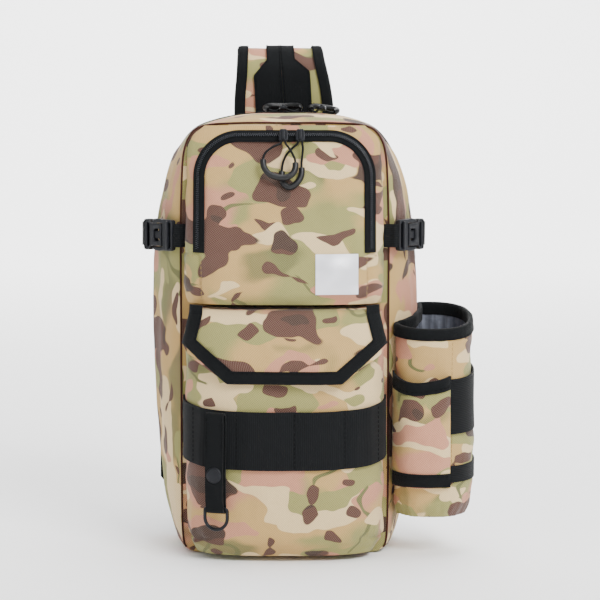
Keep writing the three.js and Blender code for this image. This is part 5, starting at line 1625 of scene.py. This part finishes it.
def standing_strap(name, points, node):
    """A strap standing on edge along a plan route."""
    route = Route([Vector((x, y, 0)) for x, y in points])

    def face(place, z, lift):
        forward, spot = route.along(place), route.at(place)
        off = lift + rumple((place * 3, z * 8, STRAP_HEIGHT), 0.7, 31) * 0.0005
        return Vector((spot.x + forward.y * off, spot.y - forward.x * off, z))

    half = SIDE_WEBBING / 2
    layer_mesh(name, face, steps(0, 1, 50), steps(STRAP_HEIGHT - half, STRAP_HEIGHT + half, 12),
               -WEBBING / 2, WEBBING / 2, "webbing", "black_webbing", node)


def mirrored(rows):
    """A half outline closed by its mirror image."""
    return rows + [(a, -b) for a, b in rows[::-1]]


def hole(along, *shape):
    """A rounded hole at a place along the strap."""
    return [(a + along, b) for a, b in rounded(*shape, 3)]


class BAG_OT_side_straps(bpy.types.Operator):
    """The two compression straps with their side-release buckles"""
    bl_idname = "bag.side_straps"
    bl_label = "Side straps"

    def execute(self, context):
        sizes = context.scene.bag_sizes
        shapes = Shapes(sizes)
        front, back = shapes.front_y, shapes.back_y

        def wall(depth):
            return shapes.reach(depth, STRAP_HEIGHT - SIDE_WEBBING / 2)

        for name, side, yaw, inset, y in (("left", -1, 42, 0.010, front + 0.004),
                                          ("right", 1, 50, 0.0095, front + 0.005)):
            angle = math.radians(yaw)
            along = Vector((side * math.cos(angle), math.sin(angle), 0))
            out = Vector((side * math.sin(angle), -math.cos(angle), 0))
            middle = Vector((side * (sizes.body_width / 2 - inset), y, STRAP_HEIGHT))
            to_world = frame_matrix(along, UP, out, middle)
            outline_plate(f"{name}_socket", mirrored(SOCKET), 0.0072, 0.0014, to_world, "moulded",
                          "moulded", f"{name}_buckle_female",
                          holes=(hole(0.0165, 0.0034, 0.0214, 0.0012),
                                 hole(0.0060, 0.0075, 0.0105, 0.002)))
            outline_plate(f"{name}_prongs", mirrored(PRONGS), 0.0056, 0.0010, to_world, "moulded",
                          "moulded", f"{name}_buckle_male",
                          holes=(hole(-0.0085, 0.0034, 0.0214, 0.0012),))
            outline_plate(f"{name}_tongue", rounded(0.0165, 0.0070, 0.002, 3), 0.0034, 0.0008,
                          to_world @ Matrix.Translation((0.0050, 0, 0)), "moulded", "moulded")
            outline_plate(f"{name}_ladder", rounded(0.0022, 0.0250, 0.0009, 3), 0.0034, 0.0009,
                          to_world @ Matrix.Translation((-0.0072, 0, 0.0030)), "moulded",
                          "moulded")

            def spot(reach, off=0.0):
                place = middle + along * reach + out * off
                return place.x, place.y

            standing_strap(f"{name}_strap_front", [
                (side * (sizes.front_width / 2 - 0.0040), front - 0.0036),
                (side * (sizes.front_width / 2 + 0.0016), front - 0.0048),
                spot(-0.0126), spot(-0.0094, -0.0006), spot(-0.0070, 0.0006)],
                f"{name}_webbing_front")
            end = spot(0.0226)
            standing_strap(f"{name}_strap_rear", [
                spot(0.0165), spot(0.0190, -0.0004), end, (end[0] + side * 0.0025, end[1] + 0.007),
                (side * (wall(0.006) + 0.009), 0.006), (side * (wall(0.026) + 0.005), 0.026),
                (side * (wall(back - 0.002) + 0.0016), back - 0.002)],
                f"{name}_webbing_rear")
            sewing = Sewing(sizes, 0.0006)
            for deep in (0.004, 0.012):
                x = side * (wall(back - deep) + 0.0032 - 0.04 * (0.004 - deep))
                points = [Vector((x, back - deep, STRAP_HEIGHT + z))
                          for z in steps(-0.009, 0.009, 8)]
                sewing.run(points, lambda point, side=side: ACROSS * side)
            sewing.finish(f"{name}_strap_stitches", "tan_thread", "black_webbing")
        return {"FINISHED"}


def cup_cloth(name, shapes, out, wall, low, high, relief, look, slot, node, start=(0, 0)):
    """A cup that follows the bottle holder from one rise to another, with a floor."""
    def face(turn, rise, lift):
        if rise >= 0:
            return relief(shapes.bottle(turn, rise, out + lift), turn, rise)
        edge = relief(shapes.bottle(turn, low, out + lift), turn, low)
        point = Vector((shapes.bottle_x, BOTTLE_Y, edge.z)).lerp(edge, 1 + rise)
        point.z = shapes.s.bottle_base + low * shapes.s.bottle_height + lift * rise
        return point

    layer_mesh(name, face, [k / 120 for k in range(120)],
               [-0.9, -0.6, -0.3, -0.1] + steps(low, high, 80), -wall, 0.0, look, slot, node,
               loop=True, start=start)


class BAG_OT_bottle_holder(bpy.types.Operator):
    """The bottle holder, its lining, bindings and bands, and the tool pocket in front of it"""
    bl_idname = "bag.bottle_holder"
    bl_label = "Bottle holder"

    def execute(self, context):
        sizes = context.scene.bag_sizes
        shapes = Shapes(sizes)
        rise_at = shapes.bottle_rise

        def relief(point, turn, rise):
            fold = folds(point, (0.045, 0.0020, 41), (0.016, 0.0007, 42))
            foot = smooth(0.16, 0.02, rise)
            fold += foot * rumple((turn * 0.9, rise * 0.1, 0), 0.022, 43) * 0.0013
            return point + shapes.off_bottle(point) * fold * smooth(1.0, 0.92, rise)

        cup_cloth("bottle_cloth", shapes, 0.0, 0.0012, 0.0, 0.995, relief, "camouflage",
                  "camouflage", "bottle_pocket", (7.7, 2.9))

        def gathers(point, turn, rise):
            deep = (0.0008 + 0.0006 * smooth(0.7, 0.98, rise)) * smooth(0.97, 0.86, rise)
            wave = math.sin(turn * math.tau * 27 + 2.2 * math.sin(turn * 19 + rise * 5))
            uneven = rumple((turn, rise * 0.4, 0), 0.06, 44) * 0.5
            return point - shapes.off_bottle(point) * deep * (0.6 + 0.4 * wave + uneven)

        cup_cloth("foil_cloth", shapes, -0.0022, 0.0006, 0.014, 0.975, gathers, "lining", "lining",
                  "bottle_lining")

        turns = [k / 140 for k in range(140)]
        width = RIM_TAPE / sizes.bottle_height

        def rim_face(turn, k, lift):
            share, face = FOLDED_RIM[k]
            ripple = rumple((turn * 2.2, 0, 0), 0.05, 45) * 0.0004
            return shapes.bottle(turn, 1 - share * width, -0.0012 + face * 0.0022 + ripple + lift)

        layer_mesh("rim_tape", rim_face, turns, range(len(FOLDED_RIM)), 0.0, 0.0005, "tape",
                   "black_cloth", "bottle_rim_binding", loop=True, angle=70)
        sewing, seam = Sewing(sizes), Sewing(sizes)
        sewing.run([shapes.bottle(turn, 1 - width * 0.85, 0.0017)
                    for turn in steps(0.55, 1.3, 160)], shapes.off_bottle)
        low, high = rise_at(TOOL_BASE), rise_at(TOOL_TOP)
        seam.run([relief(shapes.bottle(SEAM_TURN, rise), SEAM_TURN, rise)
                  for rise in steps(low, 0.93, 60)], shapes.off_bottle)
        seam.finish("holder_seam", "tan_thread", "camouflage")

        # Tool pocket with a bound top and a taped foot
        def tool(turn, rise, lift):
            point = shapes.tool(turn, rise, lift)
            point.y -= folds(point, (0.035, 0.0018, 46), (0.014, 0.0006, 47))
            return point

        across = steps(*TOOL_TURNS, 60)
        layer_mesh("tool_cloth", tool, across, steps(low, high, 60), 0.0008, 0.0022, "camouflage",
                   "camouflage", "tool_pocket", start=(9.43, 1.77))
        layer_mesh("tool_top_tape", tool, across, steps(high - width * 1.1, high + 0.003, 8),
                   0.0006, 0.0038, "tape", "black_cloth", "tool_top_binding")
        layer_mesh("tool_foot_tape", tool, across,
                   steps(low + 0.006, low + 0.006 + width * 1.2, 6), 0.0004, 0.0033, "tape",
                   "black_cloth")
        for rise in (high - width * 0.8, low + 0.006 + width * 0.95):
            lift = 0.0040 if rise > 0.5 else 0.0035
            points = [tool(turn, rise, lift) for turn in steps(0.58, 0.798, 60)]
            sewing.run(points, lambda p: Vector((0.1, -1, 0)).normalized())

        def band(turn, rise, lift):
            bump = rumple(shapes.bottle(turn, rise), 0.04, 48) * 0.0005
            return shapes.bottle(turn, rise, lift + bump)

        for name, base, height, node in HOLDER_BANDS:
            layer_mesh(name, band, steps(*BAND_TURNS, 70),
                       steps(rise_at(base), rise_at(base + height), 12), 0.0004, 0.0019, "webbing",
                       "black_webbing", node)
        sewing.finish("holder_stitches", "black_thread", "black_cloth")
        return {"FINISHED"}


class BAG_OT_shoulder_strap(bpy.types.Operator):
    """The padded shoulder strap with its webbing, adjuster, tail and wing"""
    bl_idname = "bag.shoulder_strap"
    bl_label = "Shoulder strap"

    def execute(self, context):
        sizes = context.scene.bag_sizes
        shapes = Shapes(sizes)
        at = ribbon(shapes.strap)

        def half(along, column):
            return eased_at(STRAP_ROWS, along, column) * sizes.pad_width / 2

        places = steps(0, 0.13, 16)[:-1] + steps(0.13, 0.29, 40)[:-1] + steps(0.29, 1, 90)
        rings = []
        for along in places:
            ring = []
            for across, deep in PAD_SECTION:
                wave = rumple((across * 0.05, along * 0.9, deep * 0.01), 0.05, 51) * 0.0007
                ring.append(at(along, across * half(along, 1), deep * sizes.pad_thickness
                               + (wave if deep > -0.1 else -wave)))
            rings.append(ring)
        pad = loft_mesh("strap_padding", rings, "camouflage", start=(12.2, 4.3))
        settle(pad, "camouflage", "shoulder_strap")

        sewing = Sewing(sizes)
        for side, name in ((-1, "left"), (1, "right")):
            def face(along, k, lift, side=side):
                inset, rise = PAD_TAPE[k]
                return at(along, side * (half(along, 1) - inset - lift * 0.3), rise + lift)

            layer_mesh(f"strap_tape_{name}", face, places, range(len(PAD_TAPE)), 0.0, 0.0006,
                       "tape", "black_cloth", f"strap_binding_{name}", angle=70)
            points = [at(along, side * (half(along, 1) - 0.0078), 0.0020)
                      for along in steps(0, 0.99, 300)]
            self.stitch(sewing, shapes, points)

        def webbing(along, share, lift):
            reach = table_at(STRAP_ROWS, along, 2) * sizes.pad_width / 2
            bump = 0.0004 * rumple((along, share * 0.02, 0), 0.05, 52)
            return at(along, share * reach, lift + bump)

        for name, low, high, nodes in (("strap_band", -1, -0.004, ("strap_top_webbing",)),
                                       ("strap_band_second", 0.004, 1, ())):
            layer_mesh(name, webbing, places, steps(low, high, 6), 0.0008, 0.0026, "tape",
                       "black_webbing", *nodes)
        for share in (-0.93, -0.07, 0.07, 0.93):
            points = [webbing(along, share, 0.0029) for along in steps(0, 0.99, 300)]
            self.stitch(sewing, shapes, points)
        sewing.finish("strap_stitches", "black_thread", "black_cloth")

        def foot(along, x, lift):
            return at(along, x * half(along, 1), -sizes.pad_thickness * 1.07 - lift)

        layer_mesh("strap_foot_tape", foot, steps(0, 0.026, 4), steps(-0.99, 0.99, 16), 0.0, 0.0014,
                   "tape", "black_cloth")

        forward, side, out = ribbon_frame(shapes.strap, 1)
        length, width = ADJUSTER
        middle = shapes.strap.at(1) + forward * (length / 2 + GAP) - out * sizes.pad_thickness / 2
        to_world = frame_matrix(forward, side, -out, middle)
        slots = [hole(place * length, 0.005, 0.026, 0.001) for place in (-0.27, 0.27)]
        outline_plate("ladder_buckle", rounded(length, width, 0.003), 0.0048, 0.0012, to_world,
                      "moulded", "moulded", "strap_adjuster", holes=slots)
        wing_x, wing_z = WING_INSET - sizes.body_width / 2, WING_HEIGHT
        face_y = shapes.panel_face + GAP + 0.003
        start = middle + forward * (length / 2 + GAP)
        seat = face_y + GAP + WEBBING / 2
        tail = Route([start - forward * 0.0095, start, start + forward * 0.009,
                      Vector((wing_x - 0.004, seat + 0.009, wing_z - 0.024)),
                      Vector((wing_x - 0.005, seat + 0.001, wing_z - 0.012)),
                      Vector((wing_x - 0.005, seat, wing_z + 0.006))])
        layer_mesh("tail_band", ribbon(tail), steps(0, 1, 50), steps(-0.0125, 0.0125, 8),
                   -WEBBING / 2, WEBBING / 2, "webbing", "black_webbing", "strap_tail_webbing")
        corners = [(a * WING[0], b * WING[1]) for a, b in WING_OUTLINE]
        to_world = frame_matrix(ACROSS, UP, FRONT, (wing_x, face_y - 0.0015, wing_z))
        outline_plate("wing_cloth", corners, 0.0028, 0.0008, to_world, "tape", "black_cloth",
                      "anchor_wing")
        return {"FINISHED"}

    @staticmethod
    def stitch(sewing, shapes, points):
        """Sews along points, with the stitches lying on the strap's face."""
        outs = [ribbon_frame(shapes.strap, k / 40)[2] for k in range(41)]
        spots = [shapes.strap.at(k / 40) for k in range(41)]
        sewing.run(points, lambda point: outs[min(
            range(41), key=lambda k: (spots[k] - point).length_squared)])


def slider_piece(name, node, middle, forward, out):
    """A zip slider: a wedge plate with a bridge on it."""
    to_world = frame_matrix(out.cross(forward).normalized(), forward, out, middle)
    outline_plate(name + "_slider_base", SLIDER_OUTLINE, 0.0030, 0.0007,
                  to_world @ Matrix.Translation((0, 0, -0.0008)), "metal", "dark_metal", node)
    outline_plate(name + "_slider_bridge", rounded(0.0026, 0.0088, 0.0011, 3), 0.0016, 0.0006,
                  to_world @ Matrix.Translation((0, 0, 0.0014)), "metal", "dark_metal")


def cord_curve(name, points, radius, look):
    """A round cord as a curve of one open spline."""
    curve = bpy.data.curves.new(name, "CURVE")
    curve.dimensions = "3D"
    spline = curve.splines.new("POLY")
    spline.points.add(len(points) - 1)
    for point, place in zip(spline.points, points):
        point.co = (*place, 1)
    curve.bevel_depth, curve.bevel_resolution = radius, 3
    curve.use_fill_caps = True
    curve.materials.append(material(look))
    return link(name, curve)


class BAG_OT_zip_pulls(bpy.types.Operator):
    """The four sliders, each with a thin cord and a rubber tube"""
    bl_idname = "bag.zip_pulls"
    bl_label = "Zip pulls"

    def execute(self, context):
        shapes = Shapes(context.scene.bag_sizes)
        for name, (slider_x, grip_start, grip_end, rows) in PULLS.items():
            zip_name, side_name = name.split("_")
            x = slider_x / 1000
            rows = [[v / 1000 for v in row] for row in rows]
            if zip_name == "upper":
                height, lift, slant = UPPER_SLIDER
                middle = shapes.upper.front(x, height, lift)
                points = [shapes.upper.front(*row) for row in rows]
            else:
                lift, slant = MAIN_SLIDER
                ridge = shapes.body(0.5, MAIN_ZIP_PLACE).z
                middle = Vector((x, MAIN_ZIP_PLACE, ridge + lift))
                points = [Vector((x, y, shapes.body(0.5, y).z + lift)) for x, y, lift in rows]
            forward = Vector((0, math.cos(slant), math.sin(slant)))
            out = forward.cross(ACROSS) * (1 if zip_name == "upper" else -1)
            slider_piece(name, f"{zip_name}_slider_{side_name}", middle, forward, out)
            foot = middle + forward * 0.0058
            turn = ACROSS * math.copysign(0.0017, points[0].x - middle.x)
            ahead = forward * 0.0015
            route = Route([foot + turn, foot + turn + ahead, *points, foot - turn + ahead,
                           foot - turn])
            tube = tube_points(route, TUBE_RADIUS, 60, 16, grip_start, grip_end)
            grip = loft_mesh(name + "_tube", tube, "rubber", caps=(0.93, 0.75, 0.5, 0.2), angle=50)
            settle(grip, "grip", f"{zip_name}_pull_grip_{side_name}")
            line = [route.at(share) for share in steps(0, 1, 39)]
            cord = cord_curve(name + "_cord", line, CORD_RADIUS, "cord")
            settle(cord, "cord", f"{zip_name}_pull_cord_down_{side_name}",
                   f"{zip_name}_pull_cord_up_{side_name}")
            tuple(line[0])
            lengths(line)[-1]
        return {"FINISHED"}


def aim(obj, target):
    """Turns a light or camera towards a point."""
    obj.rotation_euler = (Vector(target) - obj.location).to_track_quat("-Z", "Y").to_euler()


def area_light(name, place, target, width, height, power):
    """A rectangular light aimed at a point."""
    light = bpy.data.lights.new(name, "AREA")
    light.shape, light.size, light.size_y = "RECTANGLE", width, height
    light.energy = power
    obj = link(name, light)
    obj.location = place
    aim(obj, target)


class BAG_OT_stage(bpy.types.Operator):
    """Pale floor that runs up into a backdrop, soft studio lights and the camera"""
    bl_idname = "bag.stage"
    bl_label = "Stage"

    def execute(self, context):
        profile = [(FLOOR_FRONT, 0.0), (FLOOR_BACK, 0.0)]
        profile += [(FLOOR_BACK + SWEEP_RADIUS * math.sin(a), SWEEP_RADIUS * (1 - math.cos(a)))
                    for a in steps(0, math.pi / 2, 24)[1:]]
        profile.append((FLOOR_BACK + SWEEP_RADIUS, SWEEP_TOP))
        points = [Vector((x, y, FLOOR_Z + z))
                  for x in (-FLOOR_HALF, FLOOR_HALF) for y, z in profile]
        count = len(profile)
        faces = [[k, k + 1, count + k + 1, count + k] for k in range(count - 1)]
        sweep = new_object("studio_floor", points, faces, None, "floor", 80)
        for light in LIGHTS:
            area_light(*light)
        world = bpy.data.worlds.new("studio")
        world.use_nodes = True
        background = world.node_tree.nodes["Background"].inputs
        background["Color"].default_value = (1, 1, 1, 1)
        background["Strength"].default_value = WORLD_LIGHT
        context.scene.world = world
        camera = bpy.data.cameras.new("photo_camera")
        camera.sensor_width, camera.lens = 36, CAMERA_LENS
        obj = link("photo_camera", camera)
        rise = Vector((0, -math.cos(CAMERA_ELEVATION), math.sin(CAMERA_ELEVATION)))
        obj.location = CAMERA_TARGET + rise * CAMERA_DISTANCE
        aim(obj, CAMERA_TARGET)
        context.scene.camera = obj
        return {"FINISHED"}


PIECES = [
    BAG_OT_main_compartment, BAG_OT_zips, BAG_OT_upper_pocket, BAG_OT_lower_pocket, BAG_OT_flap,
    BAG_OT_hanging_loop, BAG_OT_side_straps, BAG_OT_bottle_holder, BAG_OT_shoulder_strap,
    BAG_OT_zip_pulls, BAG_OT_stage,
]


class BAG_PT_panel(bpy.types.Panel):
    """Lists the pieces of the bag with their sizes and colours"""
    bl_idname = "BAG_PT_panel"
    bl_label = "Sling bag"
    bl_space_type = "VIEW_3D"
    bl_region_type = "UI"
    bl_category = "Sling bag"

    def draw(self, context):
        layout = self.layout
        for piece in PIECES:
            layout.operator(piece.bl_idname)
        scene = context.scene
        for title, group in (("Sizes", scene.bag_sizes), ("Colours", scene.bag_colours)):
            box = layout.box()
            box.label(text=title)
            for name in type(group).__annotations__:
                box.prop(group, name)


CLASSES = [BAG_sizes, BAG_colours, *PIECES, BAG_PT_panel]


def register():
    for kind in CLASSES:
        bpy.utils.register_class(kind)
    bpy.types.Scene.bag_sizes = PointerProperty(type=BAG_sizes)
    bpy.types.Scene.bag_colours = PointerProperty(type=BAG_colours)


def unregister():
    del bpy.types.Scene.bag_colours
    del bpy.types.Scene.bag_sizes
    for kind in reversed(CLASSES):
        bpy.utils.unregister_class(kind)


def main():
    register()
    for piece in PIECES:
        group, name = piece.bl_idname.split(".")
        getattr(getattr(bpy.ops, group), name)()


if __name__ == "__main__":
    main()
